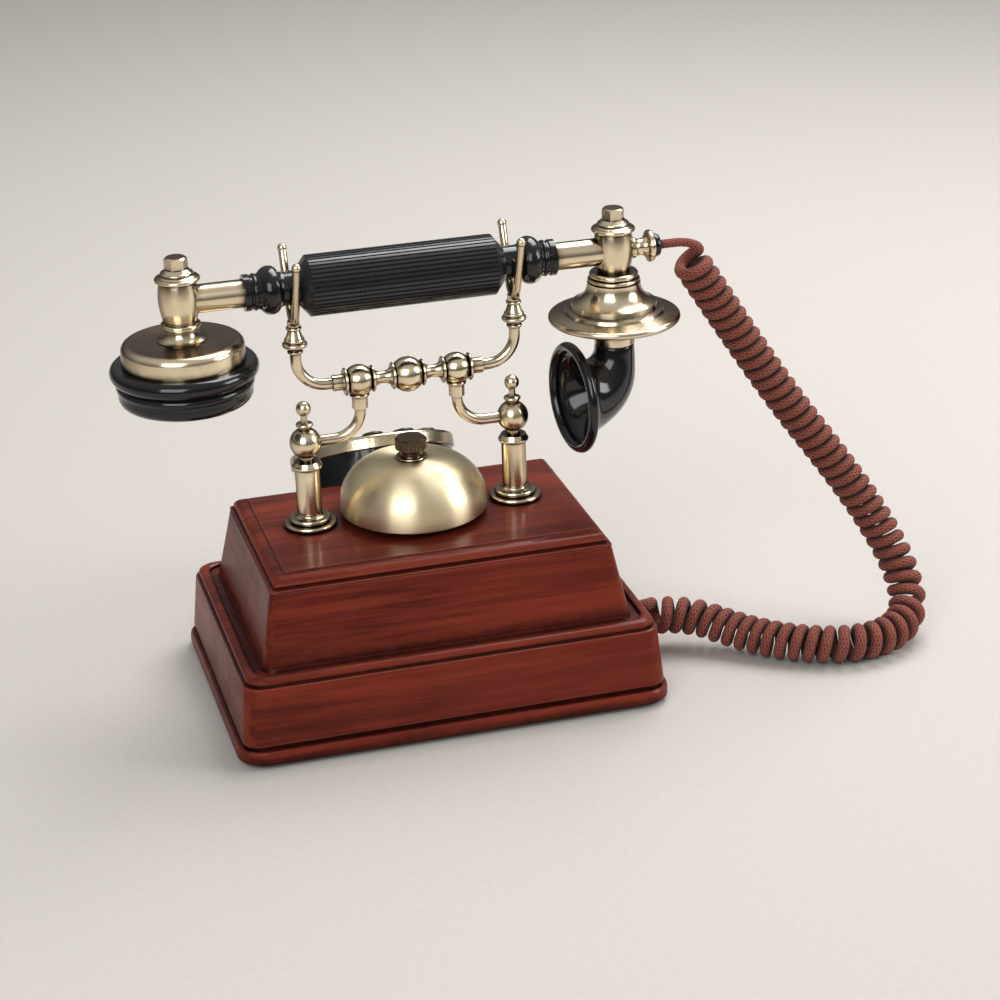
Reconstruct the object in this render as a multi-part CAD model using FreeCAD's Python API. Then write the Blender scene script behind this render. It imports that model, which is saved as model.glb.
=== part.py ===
import FreeCAD, Part
import math
import os

from FreeCAD import Placement, Rotation
from FreeCAD import Vector as V

os.makedirs("parts", exist_ok=True)

# Cradle telephone on a stepped wooden base, in millimetres.
# The origin is the middle of the underside, +Z is up, +X runs to the mouthpiece end
# and -Y is the side with the bell, so that the dial faces +Y.

# Clearances
gap = 0.3
slip = 0.05

# Wooden base: one half length along X, the inset of each step from it, and the difference in depth
depth_cut = 26.0
plinth_half = 95.0
groove_inset = 3.4
wall_inset = 2.1
wall_draft = 2.6
ledge_inset = 3.8
lower_wall_thick = 6.3
cover_inset = 0.5
pad_inset = 1.5
upper_inset = 6.0
upper_draft = 6.0
board_step_inset = 2.5
board_inset = 2.6
pad_height = 1.2
cover_top = 5.0
cover_corner = 3.0
pad_corner = 8.0
plinth_bottom = 2.0
plinth_top = 8.4
plinth_corner = 12.0
plinth_round = 2.2
lower_wall_bottom = 9.9
lower_wall_top = 35.2
bead_top = 38.0
bead_round = 2.2
ledge_top = 39.2
lower_cavity_top = 33.0
upper_corner = 4.0
upper_top = 70.25
upper_wall = 8.0
case_ledge = 2.0
upper_inner_corner = 2.0
board_step_top = 72.6
board_top = 76.5
board_corner = 2.5
board_round = 1.5
groove_half = plinth_half - groove_inset
lower_wall_half = plinth_half - wall_inset
lower_wall_top_half = lower_wall_half - wall_draft
ledge_half = lower_wall_top_half - ledge_inset
lower_cavity_half = lower_wall_top_half - lower_wall_thick
cover_half = lower_cavity_half - cover_inset
pad_half = cover_half - pad_inset
upper_half = ledge_half - upper_inset
upper_top_half = upper_half - upper_draft
board_step_half = upper_top_half - board_step_inset
board_half = board_step_half - board_inset

# Posts, hook plungers and cradle
post_x = 46.1
post_y = 4.0
post_flange_r = 11.0
post_flange_height = 2.2
post_ring_r = 8.6
post_ring_height = 2.2
post_column_r = 5.4
post_collar_r = 6.7
post_collar_height = 3.6
post_top = 106.4
post_spigot_r = 5.0
post_spigot_bottom = 63.5
post_nut_height = 4.0
post_nut_across = 14.0
plunger_r = 3.0
plunger_bottom = 58.0
hook_travel = 4.0
post_ball_r = 6.9
post_ball_z = 114.7
finial_ball_r = 3.25
finial_ball_z = 130.2
bar_z = 140.0
bar_ball_x = 21.4
bar_ball_r = 6.9
bar_centre_r = 7.6
bar_flange_r = 5.8
bar_flange_width = 1.1
bar_waist_r = 2.6
bar_neck_r = 4.0

# Where each ball is cut off, as shares of its radius
seat_ratio = 0.87
crown_ratio = 0.913
finial_ratio = 0.892
bar_centre_ratio = 0.7895
bar_ball_ratio = 0.7826

# Arms and forks
arm_r = 2.4
sleeve_r = 3.45
sleeve_length = 5.0
arm_bend = 12.0
fork_x = 48.0
fork_arm_bend = 12.5
knob_r = 5.4
knob_bottom = 155.5
knob_top = 170.0
tine_r = 1.75
tine_tilt = 21.0
tine_elbow = 172.0
tine_bend = 7.0
tine_top = 197.5

# Handset
axis_z = 184.6
handset_shift = -1.0
hub_reach = 94.15
tube_r = 6.0
tube_bore_r = 4.4
grip_r = 13.0
grip_half = 40.0
grip_cone = 4.3
neck_r = 7.2
neck_half_width = 3.7
flute_count = 42
flute_depth = 0.55
ferrule_bulge_r = 10.3
ferrule_bulge_x = 56.4
ferrule_end_r = 7.8
ferrule_end_x = 67.3
hub_r = 8.2
hub_foot_r = 7.0
hub_bottom = 176.0
hub_top = 193.2
hub_cap_height = 5.4
nut_height = 5.0
hub_ring_r = 9.5
hub_cap_top = hub_top + hub_cap_height
nut_across = 8.6
nut_top = hub_cap_top + nut_height
cup_top = 167.6
cup_bottom = 157.6
cup_r = 25.9
cup_wall = 1.6
ear_cap_r = 31.3
ear_cap_top = 158.4
ear_cap_waist = 151.0
ear_cap_lower_r = 28.2
ear_cap_bottom = 140.6
dish_r = 22.0
dish_floor_r = 13.5
dish_depth = 6.0
ear_hole_r = 1.3
disc_r = 28.8
disc_top = 157.0
disc_bottom = 153.4
collar_r = 8.8
collar_bottom = 143.0
horn_rise = (3.0, 0.1, 9.0)
horn_bend = [
    (-9.5, 5.2, 8.5, 18.5),
    (-11.0, 6.4, 5.0, 27.0),
    (-13.0, 6.4, -0.8, 34.0),
    (-15.4, 5.2, -7.4, 39.4),
    (-18.0, 2.8, -14.4, 43.4),
    (-20.4, -0.2, -20.4, 46.0),
]
horn_wall = 1.6
horn_lip_r = 1.5
horn_swivel = 6.0
horn_steps = 3
throat_r = 6.2
gland_r = 4.5
gland_length = 7.0
gland_flange_r = 6.9
gland_flange_width = 2.2
bush_r = 4.8
bush_length = 3.0

# Bell
gong_r = 32.15
gong_wall = 1.5
gong_rim_z = 79.4
gong_shoulder_z = 87.5
gong_top = 101.6
gong_flat_r = 12.2
gong_lean = 0.7
gong_eye_r = 2.7
gong_post_r = 4.5
gong_stud_r = 2.5
washer_r = 6.6
washer_thick = 1.0
knurl_r = 7.0
knurl_neck_r = 5.2
knurl_count = 24
knurl_height = 5.6
knurl_neck_height = 3.0
striker_pivot_x = 10.0
striker_pivot_z = 58.0
striker_pin_r = 1.0
striker_arm_r = 1.2
striker_ball_r = 4.0
striker_ball_x = 22.6
striker_ball_z = 90.0
striker_hub_r = 2.6
yoke_half_width = 7.0
yoke_ear = 1.6
yoke_plate = 3.0
coil_r = 6.5
coil_core_r = 3.0
yoke_left = -24.0
yoke_right_reach = 8.0
yoke_ear_half = 4.0
yoke_ear_drop = 3.0
coil_ear_half = 5.0
coil_length = 18.0
core_end = 1.5

# Dial with push keys, let into the front edge of the upper case
dial_tilt = 30.0
dial_overhang = 38.2
dial_y = upper_top_half - depth_cut + dial_overhang
dial_z = 75.3
bezel_r = 38.4
bezel_height = 6.5
bezel_lip = 3.2
face_drop = 1.2
face_thick = 2.0
dial_cup_r = 37.4
dial_cup_depth = 30.0
dial_cup_wall = 1.8
dial_cup_round = 8.0
key_marks = ["1", "2", "3", "4", "5", "6", "7", "8", "9", "star", "0", "hash"]
key_circle_r = 28.4
key_first = -68.2
key_r = 5.0
key_height = 3.6
key_flange_r = 6.0
key_flange = 1.2
key_travel = 1.5
centre_cap_r = 14.0
centre_cap_height = 2.6
key_board_thick = 1.6
key_dome = 0.5

# Hook switch, circuit board, line socket and cord entry
lever_reach = 14.0
lever_drop = 2.5
lever_hub_r = 2.2
lever_thick = 1.4
lever_rest = 0.4
lever_pin_r = 0.8
lever_width = 3.4
switch_width = 8.0
switch_depth = 9.0
spring_r = 2.9
spring_wire_r = 0.45
spring_turns = 6
boss_r = 5.0
boss_top = plunger_bottom - 3 * hook_travel
circuit_thick = 1.6
circuit_z = 10.0
circuit_left = -34.0
circuit_right = 62.0
circuit_half_depth = 44.0
standoff_r = 3.0
standoff_inset = 5.0
circuit_blocks = [(-22, -32, 24, 22, 18), (30, -34, 18, 10, 12), (16, 12, 24, 10, 3.4)]
capacitor_x = [-18.0, -4.0]
capacitor_y = 30.0
capacitor_r = 4.0
capacitor_height = 14.0
jack_z = 17.0
jack_width = 14.0
jack_height = 13.0
jack_depth = 17.0
jack_inset = 1.7
jack_face_x = lower_wall_half - jack_inset
socket_width = 9.8
socket_height = 6.8
socket_depth = 13.0
screw_r = 1.6
screw_head_r = 3.0
screw_inset = 9.0
screw_length = 8.0
screw_boss_r = 4.5
jack_room = 7.0
jack_y = cover_half - depth_cut - screw_inset - screw_boss_r - jack_room - jack_width / 2
boot_inset = 1.9
boot_seat_x = lower_wall_half - boot_inset
boot_flange_r = 6.5
boot_flange_width = 1.8
boot_r = 4.4
boot_tip_r = 3.2
boot_length = 4.5
boot_tip_x = boot_seat_x + boot_length
boot_plug_length = 6.0
boot_y = -12.0
boot_z = 21.5

# Curly cord: the line of the coil's middle, chosen by hand, and the tails' corners
tail_r = 1.95
tail_bend = 11.7
tail_run = 12.2
base_tail_length = 4.0
coil_level = 14.0
curl_r = 5.9
curl_wire_r = 2.5
curl_pitch = 5.7
curl_gap = 0.65
curl_lead = 5.0
cord_drop = V(0.57, 0, -0.82)
coil_middle = [
    V(156.4, 1.5, 130.0),
    V(172.0, -3.5, 105.5),
    V(189.5, -8.5, 81.0),
    V(205.5, -15.0, 56.5),
    V(218.0, -24.5, 31.0),
    V(218.5, -38.5, 12.8),
    V(204.5, -52.0, 9.0),
    V(182.0, -56.5, 9.0),
    V(160.0, -47.0, 9.0),
    V(141.0, -31.0, 9.6),
]

dial_axis = V(0, math.sin(math.radians(dial_tilt)), math.cos(math.radians(dial_tilt)))
dial_centre_point = V(0, dial_y, dial_z)
receiver_x = handset_shift - hub_reach
transmitter_x = handset_shift + hub_reach
cavity_top_half = upper_top_half - upper_wall
up = V(0, 0, 1)


# Shape helpers
def outline_face(outline):
    """Closed face in the XZ plane; a pair is a straight run, a foursome is an arc's middle and end."""
    edges = []
    here = outline[0]
    for item in outline[1:] + [outline[0]]:
        end = item[-2:]
        start_point = V(here[0], 0, here[1])
        end_point = V(end[0], 0, end[1])
        if len(item) == 4:
            edges.append(Part.Arc(start_point, V(item[0], 0, item[1]), end_point).toShape())
        elif (end_point - start_point).Length > 1e-6:
            edges.append(Part.LineSegment(start_point, end_point).toShape())
        here = end
    return Part.Face(Part.Wire(edges))


def turned(outline, base=V(0, 0, 0), axis=up):
    """Solid of revolution from an outline of radius and height."""
    solid = outline_face(outline).revolve(V(0, 0, 0), up, 360)
    solid.Placement = Placement(base, Rotation(up, axis))
    return solid


def cylinder(radius, start, end):
    return Part.makeCylinder(radius, (end - start).Length, start, end - start)


def block(low, high):
    size = high - low
    return Part.makeBox(size.x, size.y, size.z, low)


def rounded_rectangle(half, corner, height):
    """Wire with round corners, half lengths half and half - depth_cut."""
    a = half
    b = half - depth_cut
    diagonal = corner * (1 - math.sqrt(0.5))
    edges = []
    for sx, sy in ((1, 1), (-1, 1), (-1, -1), (1, -1)):
        first = V(sx * a, sy * (b - corner), height)
        middle = V(sx * (a - diagonal), sy * (b - diagonal), height)
        last = V(sx * (a - corner), sy * b, height)
        if sx * sy < 0:
            first, last = last, first
        edges.append((first, middle, last))
    path = []
    for number, (first, middle, last) in enumerate(edges):
        path.append(Part.Arc(first, middle, last).toShape())
        path.append(Part.LineSegment(last, edges[(number + 1) % 4][0]).toShape())
    return Part.Wire(path)


def slab(half, corner, low, high):
    return Part.Face(rounded_rectangle(half, corner, low)).extrude(V(0, 0, high - low))


def tapered(half_low, corner_low, low, half_high, corner_high, high):
    wires = [rounded_rectangle(half_low, corner_low, low), rounded_rectangle(half_high, corner_high, high)]
    return Part.makeLoft(wires, True, True)


def round_rim(solid, height, radius):
    """Rounds the outer edges of a slab at one height."""
    edges = []
    for edge in solid.Edges:
        if abs(edge.BoundBox.ZMin - height) < 1e-4 and abs(edge.BoundBox.ZMax - height) < 1e-4:
            edges.append(edge)
    return solid.makeFillet(radius, edges)


def corner_arc(before, corner, after, radius):
    """Arc that rounds a corner, with its start and end."""
    back = (before - corner).normalize()
    ahead = (after - corner).normalize()
    half_turn = (math.pi - back.getAngle(ahead)) / 2
    reach = radius * math.tan(half_turn)
    start = corner + back * reach
    end = corner + ahead * reach
    centre = corner + (back + ahead).normalize() * (radius / math.cos(half_turn))
    middle = centre + (corner - centre).normalize() * radius
    return Part.Arc(start, middle, end).toShape(), start, end, reach


def bent_tube(points, radii, tube_radius):
    """Round rod or cord along straight runs joined by tangent arcs; gives the solid and its path."""
    edges = []
    here = points[0]
    for number in range(1, len(points) - 1):
        arc, start, end, reach = corner_arc(points[number - 1], points[number], points[number + 1],
            radii[number - 1])
        if (start - here).Length > 1e-6:
            edges.append(Part.LineSegment(here, start).toShape())
        edges.append(arc)
        here = end
    edges.append(Part.LineSegment(here, points[-1]).toShape())
    path = Part.Wire(edges)
    section = Part.Wire(Part.makeCircle(tube_radius, points[0], points[1] - points[0]))
    return path.makePipeShell([section], True, False), path


def biarc(start, start_way, end, end_way):
    """Two tangent arcs from one point and direction to another."""
    chord = end - start
    ways = start_way + end_way
    along = chord.dot(ways)
    turn = 2 * (1 - start_way.dot(end_way))
    if turn < 1e-9:
        return [Part.LineSegment(start, end).toShape()]
    reach = (-along + math.sqrt(along * along + turn * chord.dot(chord))) / turn
    first_corner = start + start_way * reach
    last_corner = end - end_way * reach
    join = (first_corner + last_corner) * 0.5
    edges = []
    for begin, corner, finish in ((start, first_corner, join), (join, last_corner, end)):
        half = (finish - begin) * 0.5
        middle = begin + half
        lift = corner - middle
        if lift.Length < 1e-5:
            edges.append(Part.LineSegment(begin, finish).toShape())
            continue
        sagitta = half.Length * math.tan(math.atan2(lift.Length, half.Length) / 2)
        edges.append(Part.Arc(begin, middle + lift.normalize() * sagitta, finish).toShape())
    return edges


def swept_wire(points, ways, radius):
    """One unbroken tube through points with known directions."""
    edges = []
    for number in range(len(points) - 1):
        edges += biarc(points[number], ways[number], points[number + 1], ways[number + 1])
    path = Part.Wire(edges)
    section = Part.Wire(Part.makeCircle(radius, points[0], ways[0]))
    return path.makePipeShell([section], True, False), path


def mirrored(shape):
    """The same piece at the other end of the object."""
    return shape.mirror(V(0, 0, 0), V(1, 0, 0))


def placed(shape, move):
    copy = shape.copy()
    copy.translate(move)
    return copy


# Wooden base
def dial_hole(extra):
    """Room for the dial's cup, with a clearance all round."""
    start = dial_centre_point - dial_axis * (bezel_height + dial_cup_depth + extra)
    return cylinder(dial_cup_r + extra, start, dial_centre_point + dial_axis * 20)


def make_lower_case():
    corner = plinth_corner
    plinth = slab(plinth_half, corner, plinth_bottom, plinth_top)
    plinth = round_rim(plinth, plinth_top, plinth_round)
    plinth = round_rim(plinth, plinth_bottom, plinth_round / 2)
    groove = slab(groove_half, corner - (plinth_half - groove_half), plinth_top, lower_wall_bottom)
    wall_corner = corner - (plinth_half - lower_wall_half)
    top_corner = corner - (plinth_half - lower_wall_top_half)
    wall = tapered(lower_wall_half, wall_corner, lower_wall_bottom, lower_wall_top_half, top_corner,
        lower_wall_top)
    bead = round_rim(slab(lower_wall_top_half, top_corner, lower_wall_top, bead_top), bead_top, bead_round)
    ledge = slab(ledge_half, corner - (plinth_half - ledge_half), bead_top, ledge_top)
    case = plinth.multiFuse([groove, wall, bead, ledge]).removeSplitter()
    bosses = [cylinder(screw_boss_r, p + up * cover_top, p + up * lower_cavity_top) for p in screw_places()]
    pilots = [cylinder(screw_r + slip, p + up * cover_top,
        p + up * (cover_top + screw_length)) for p in screw_places()]
    cavity = slab(lower_cavity_half, cover_corner, plinth_bottom, lower_cavity_top)
    rebate = slab(cover_half + gap, cover_corner, plinth_bottom, cover_top)
    opening = slab(cavity_top_half - case_ledge, cover_corner, lower_cavity_top, ledge_top)
    entry = cylinder(boot_flange_r + gap, V(boot_seat_x, boot_y, boot_z), V(plinth_half, boot_y, boot_z))
    plug = cylinder(boot_r + slip, V(boot_seat_x - 12, boot_y, boot_z), V(boot_seat_x, boot_y, boot_z))
    window = block(
        V(lower_cavity_half - 1, jack_y - jack_width / 2 - slip, jack_z - jack_height / 2 - slip),
        V(plinth_half + 1, jack_y + jack_width / 2 + slip, jack_z + jack_height / 2 + slip))
    return case.cut([cavity, rebate, opening, entry, plug, window]).multiFuse(bosses).cut(pilots)


def make_upper_case():
    outer = tapered(upper_half, upper_corner, ledge_top, upper_top_half, upper_corner, upper_top)
    inner = tapered(upper_half - upper_wall, upper_inner_corner, ledge_top, cavity_top_half,
        upper_inner_corner, upper_top)
    return outer.cut([inner, dial_hole(gap)])


def striker_slot(low, high):
    """Slot for the bell striker's arm, wide enough for its swing."""
    lean = (striker_ball_x - striker_pivot_x) / (striker_ball_z - striker_pivot_z)
    left = striker_pivot_x + lean * (low - striker_pivot_z) - 4.0
    right = striker_pivot_x + lean * (high - striker_pivot_z) + 4.5
    return block(V(left, post_y - 3, low), V(right, post_y + 3, high))


def make_top_board():
    step_corner = board_corner + (board_step_half - board_half)
    step = round_rim(slab(board_step_half, step_corner, upper_top, board_step_top), board_step_top,
        board_round)
    board = round_rim(slab(board_half, board_corner, board_step_top, board_top), board_top, board_round)
    holes = [dial_hole(gap), striker_slot(upper_top, board_top)]
    for x in (-post_x, post_x):
        holes.append(cylinder(post_spigot_r + slip, V(x, post_y, upper_top), V(x, post_y, board_top)))
    holes.append(cylinder(gong_stud_r + slip, V(0, post_y, upper_top), V(0, post_y, board_top)))
    return step.fuse(board).removeSplitter().cut(holes)


def screw_places():
    a = cover_half - screw_inset
    b = cover_half - depth_cut - screw_inset
    return [V(sx * a, sy * b, 0) for sx in (-1, 1) for sy in (-1, 1)]


def board_places():
    a = circuit_half_depth - standoff_inset
    ends = (circuit_left + standoff_inset, circuit_right - standoff_inset)
    return [V(x, y, 0) for x in ends for y in (-a, a)]


def make_bottom_cover():
    cover = slab(cover_half, cover_corner, pad_height, cover_top)
    boss = cylinder(boss_r, V(-post_x, post_y, cover_top), V(-post_x, post_y, boss_top))
    pin_r = spring_r - 2 * spring_wire_r - 0.4
    pin = cylinder(pin_r, V(-post_x, post_y, boss_top), V(-post_x, post_y, boss_top + hook_travel + 1))
    standoffs = [cylinder(standoff_r, p + up * cover_top, p + up * circuit_z) for p in board_places()]
    holes = [cylinder(screw_r + slip, p + up * pad_height, p + up * cover_top) for p in screw_places()]
    return cover.multiFuse([boss, pin] + standoffs).cut(holes)


def make_felt_pad():
    pad = slab(pad_half, pad_corner, 0, pad_height)
    return pad.cut([cylinder(screw_head_r + gap, p, p + up * pad_height) for p in screw_places()])


def hexagon(across, low, high, centre):
    radius = across / math.sqrt(3)
    corners = [V(centre.x + radius * math.cos(math.radians(60 * k)),
        centre.y + radius * math.sin(math.radians(60 * k)), low)
               for k in range(6)]
    return Part.Face(Part.makePolygon(corners + corners[:1])).extrude(V(0, 0, high - low))


def make_fasteners():
    """Cover screws and the nuts that hold the posts under the board."""
    pieces = []
    for p in screw_places():
        head = cylinder(screw_head_r, p + up * 0.2, p + up * pad_height)
        shank = cylinder(screw_r, p + up * pad_height, p + up * (cover_top + screw_length))
        pieces.append(head.fuse(shank))
    for x in (-post_x, post_x):
        nut = hexagon(post_nut_across, upper_top - post_nut_height, upper_top, V(x, post_y, 0))
        pieces.append(nut.cut(cylinder(post_spigot_r + slip, V(x, post_y, post_spigot_bottom),
            V(x, post_y, board_top))))
    return Part.makeCompound(pieces)


# Posts and cradle
def make_post(x):
    z = board_top
    flange = z + post_flange_height
    ring = flange + post_ring_height
    collar = post_top - post_collar_height
    bore = plunger_r + slip
    outline = [
        (bore, post_spigot_bottom), (post_spigot_r, post_spigot_bottom), (post_spigot_r, z),
        (post_flange_r, z),
        (post_flange_r + 0.5, z + post_flange_height / 2, post_flange_r, flange),
        (post_ring_r, flange + 0.2),
        (post_ring_r + 0.4, flange + post_ring_height / 2, post_ring_r, ring), (post_column_r + 1.2,
        ring + 0.1),
        (post_column_r + 0.2, ring + 0.6, post_column_r, ring + 2.4), (post_column_r, collar),
        (post_collar_r - 0.5, collar + 0.4), (post_collar_r, collar + 1.4, post_collar_r - 0.5,
        collar + 2.4),
        (post_collar_r - 1.2, post_top), (bore, post_top)]
    return turned(outline, V(x, post_y, 0))


def ball_arc(radius, centre, low, high):
    """Start and end of an outline's arc over a ball, between two shares of its radius from its centre."""
    first = math.asin(low)
    last = math.asin(high)
    middle = (first + last) / 2
    start = (radius * math.cos(first), centre + radius * low)
    end = (radius * math.cos(last), centre + radius * high)
    return start, (radius * math.cos(middle), centre + radius * math.sin(middle)) + end


def make_post_ball(x):
    ball_start, ball_end = ball_arc(post_ball_r, post_ball_z, -seat_ratio, crown_ratio)
    tip_start, tip_end = ball_arc(finial_ball_r, finial_ball_z, -finial_ratio, 1.0)
    ring_z = post_ball_z + post_ball_r + 1.4
    outline = [
        (0, plunger_bottom), (plunger_r, plunger_bottom), (plunger_r, ball_start[1]), ball_start, ball_end,
        (finial_ball_r, ring_z - 0.7), (finial_ball_r + 0.5, ring_z, finial_ball_r, ring_z + 0.7),
        (1.7, ring_z + 1.0), (1.5, (ring_z + tip_start[1]) / 2, tip_start[0], tip_start[1]), tip_end]
    return turned(outline, V(x, post_y, 0))


def bar_side():
    """Outline of the cross bar from its middle to one end, as radius and distance along it."""
    near, centre_end = ball_arc(bar_centre_r, 0, 0, bar_centre_ratio)
    inner, side_end = ball_arc(bar_ball_r, bar_ball_x, -bar_ball_ratio, bar_ball_ratio)
    w = bar_flange_width
    first = centre_end[3]
    second = inner[1]
    third = side_end[3]
    middle = (first + second) / 2
    return [
        near, centre_end, (bar_flange_r - 0.8, first), (bar_flange_r, first + w / 2, bar_flange_r - 0.8,
            first + w),
        (bar_neck_r, first + w + 0.1), (bar_waist_r, middle, bar_neck_r, second - w - 0.1),
        (bar_flange_r - 0.8, second - w),
        (bar_flange_r, second - w / 2, bar_flange_r - 0.8, second), inner, side_end, (bar_flange_r - 0.6,
        third),
        (bar_flange_r + 0.2, third + w / 2, bar_flange_r - 0.6, third + w),
        (sleeve_r + 0.4, third + w + 0.1),
        (sleeve_r, third + w + 0.8), (sleeve_r, third + w + sleeve_length), (0, third + w + sleeve_length)]


def bar_end():
    return bar_ball_x + bar_ball_r * bar_ball_ratio + bar_flange_width + sleeve_length


def make_cradle_bar():
    half = turned([(0, 0)] + bar_side(), V(0, post_y, bar_z), V(1, 0, 0))
    bar = half.fuse(mirrored(half))
    return bar.cut([cylinder(sleeve_r + 0.6, V(x, post_y, bar_z - 20), V(x, post_y, sleeve_top()))
                    for x in (-bar_ball_x, bar_ball_x)])


def sleeve_top():
    return bar_z - 5.6


def make_support_arm():
    """Right-hand arm: sleeve under the bar's ball, then a bend out to the post's ball."""
    top = sleeve_top()
    sleeve = turned([
        (0, top), (sleeve_r + 0.5, top), (sleeve_r + 0.9, top - 0.8, sleeve_r + 0.5, top - 1.6),
        (sleeve_r, top - 1.7),
        (sleeve_r, top - 1.7 - sleeve_length), (0, top - 1.7 - sleeve_length)], V(bar_ball_x, post_y, 0))
    start = V(bar_ball_x, post_y, top - 1.7 - sleeve_length)
    corner = V(bar_ball_x, post_y, post_ball_z)
    end = V(post_x, post_y, post_ball_z)
    rod, path = bent_tube([start, corner, end], [arm_bend], arm_r)
    return sleeve.fuse(rod).cut(make_post_ball(post_x))


def make_fork_arm():
    """Right-hand arm from the bar's end up to the fork's knob."""
    start = V(bar_end(), post_y, bar_z)
    corner = V(fork_x, post_y, bar_z)
    end = V(fork_x, post_y, knob_bottom)
    rod, path = bent_tube([start, corner, end], [fork_arm_bend], arm_r)
    return rod


def tine_spread(height):
    """Distance of a tine from the middle, so that its slope just clears the handset's neck."""
    tilt = math.radians(tine_tilt)
    clear = neck_r + tine_r + gap
    return (clear + (height - axis_z) * math.sin(tilt)) / math.cos(tilt)


def make_fork(x):
    """Turned knob with two tines that spread to hold the handset's neck."""
    b = knob_bottom
    knob = turned([
        (0, b), (arm_r + 0.4, b), (arm_r + 1.0, b + 0.8, arm_r + 0.4, b + 1.6), (arm_r + 0.3, b + 2.0),
        (knob_r - 0.6, b + 3.0), (knob_r, b + 4.0, knob_r - 0.6, b + 5.0), (knob_r - 1.2, b + 5.3),
        (knob_r - 1.0, b + 6.2, knob_r - 1.6, b + 7.0), (2.5, b + 10.6), (3.4, b + 11.2, 2.7, b + 12.0),
        (2.6, knob_top), (0, knob_top)], V(x, post_y, 0))
    pieces = []
    for side in (-1, 1):
        foot = V(x, post_y, knob_top - 1.6)
        elbow = V(x, post_y + side * tine_spread(tine_elbow), tine_elbow)
        tip = V(x, post_y + side * tine_spread(tine_top), tine_top)
        rod, path = bent_tube([foot, elbow, tip], [tine_bend], tine_r)
        pieces += [rod, Part.makeSphere(tine_r + 0.25, tip)]
    return knob.multiFuse(pieces)


# Handset
def along(x):
    """Point on the handset's own line, measured from its middle."""
    return V(handset_shift + x, post_y, axis_z)


def make_grip():
    """Fluted grip with coned ends down to the necks."""
    end = grip_half + grip_cone
    envelope = turned([
        (0, -end), (neck_r + 0.6, -end), (grip_r, -grip_half), (grip_r, grip_half), (neck_r + 0.6, end),
        (0, end)],
        along(0), V(1, 0, 0))
    step = 2 * math.pi / flute_count
    edges = []
    for number in range(flute_count):
        a = number * step
        land = 0.3 * step
        points = [V(-end, grip_r * math.cos(a + f), grip_r * math.sin(a + f)) for f in (-land, 0, land)]
        edges.append(Part.Arc(*points).toShape())
        middle = V(-end, (grip_r - flute_depth) * math.cos(a + step / 2),
            (grip_r - flute_depth) * math.sin(a + step / 2))
        finish = V(-end, grip_r * math.cos(a + step - land), grip_r * math.sin(a + step - land))
        edges.append(Part.Arc(points[2], middle, finish).toShape())
    fluted = Part.Face(Part.Wire(edges)).extrude(V(2 * end, 0, 0))
    fluted.translate(along(0))
    bore = cylinder(tube_r + slip, along(-end - 1), along(end + 1))
    return envelope.common(fluted).cut(bore)


def make_ferrule():
    """Right-hand turned collar between the grip's neck and the tube."""
    start = grip_half + grip_cone
    neck_end = start + 2 * neck_half_width
    bulge = ferrule_bulge_x
    end = ferrule_end_x
    outline = [
        (tube_r + slip, start), (neck_r, start), (neck_r, neck_end - 1.5),
        (neck_r + 0.4, neck_end, ferrule_bulge_r - 1.0, neck_end + 1.4),
        (ferrule_bulge_r, bulge + 0.4, ferrule_bulge_r - 1.4, bulge + 3.2), (ferrule_end_r + 0.2,
        bulge + 4.0),
        (ferrule_end_r - 0.5, bulge + 5.2), (ferrule_end_r + 0.1, bulge + 6.2, ferrule_end_r - 0.5,
        bulge + 7.2),
        (ferrule_end_r - 0.5, end - 3.0), (ferrule_end_r, end - 2.4), (ferrule_end_r, end),
        (tube_r + slip, end)]
    return turned(outline, along(0), V(1, 0, 0))


def hub_outline(bottom):
    """Barrel with a capped top, shared by both ends of the handset."""
    t = hub_top
    return [
        (0, bottom), (hub_foot_r, bottom), (hub_foot_r, hub_bottom), (hub_foot_r + 0.1, hub_bottom + 0.3),
        (hub_r + 0.4, (hub_bottom + t) / 2 + 2, hub_r - 0.5, t), (hub_ring_r - 0.6, t + 0.1),
        (hub_ring_r, t + 1.0, hub_ring_r - 0.6, t + 1.9), (hub_ring_r - 1.6, t + 2.2), (6.7, t + 2.9),
        (6.9, t + 3.6, 6.3, t + 4.2), (5.0, hub_cap_top), (0, hub_cap_top)]


def make_receiver_hub():
    ring_low = hub_bottom - 3.2
    foot = turned([
        (0, cup_top), (10.4, cup_top), (10.4, cup_top + 0.6), (7.4, cup_top + 2.6, 6.6, ring_low),
        (hub_r - 0.4, ring_low + 0.2), (hub_r + 0.3, ring_low + 1.4, hub_r - 0.4, ring_low + 2.6),
        (hub_foot_r, ring_low + 2.9), (hub_foot_r, hub_bottom), (0, hub_bottom)])
    hub = turned(hub_outline(hub_bottom)).fuse(foot)
    return placed(hub, V(receiver_x, post_y, 0))


def make_receiver_cup():
    inner = cup_r - cup_wall
    outline = [
        (0, cup_top), (cup_r - 1.2, cup_top), (cup_r - 0.35, cup_top - 0.35, cup_r, cup_top - 1.2),
        (cup_r, cup_bottom),
        (inner, cup_bottom), (inner, cup_top - cup_wall), (0, cup_top - cup_wall)]
    return turned(outline, V(receiver_x, post_y, 0))


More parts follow.
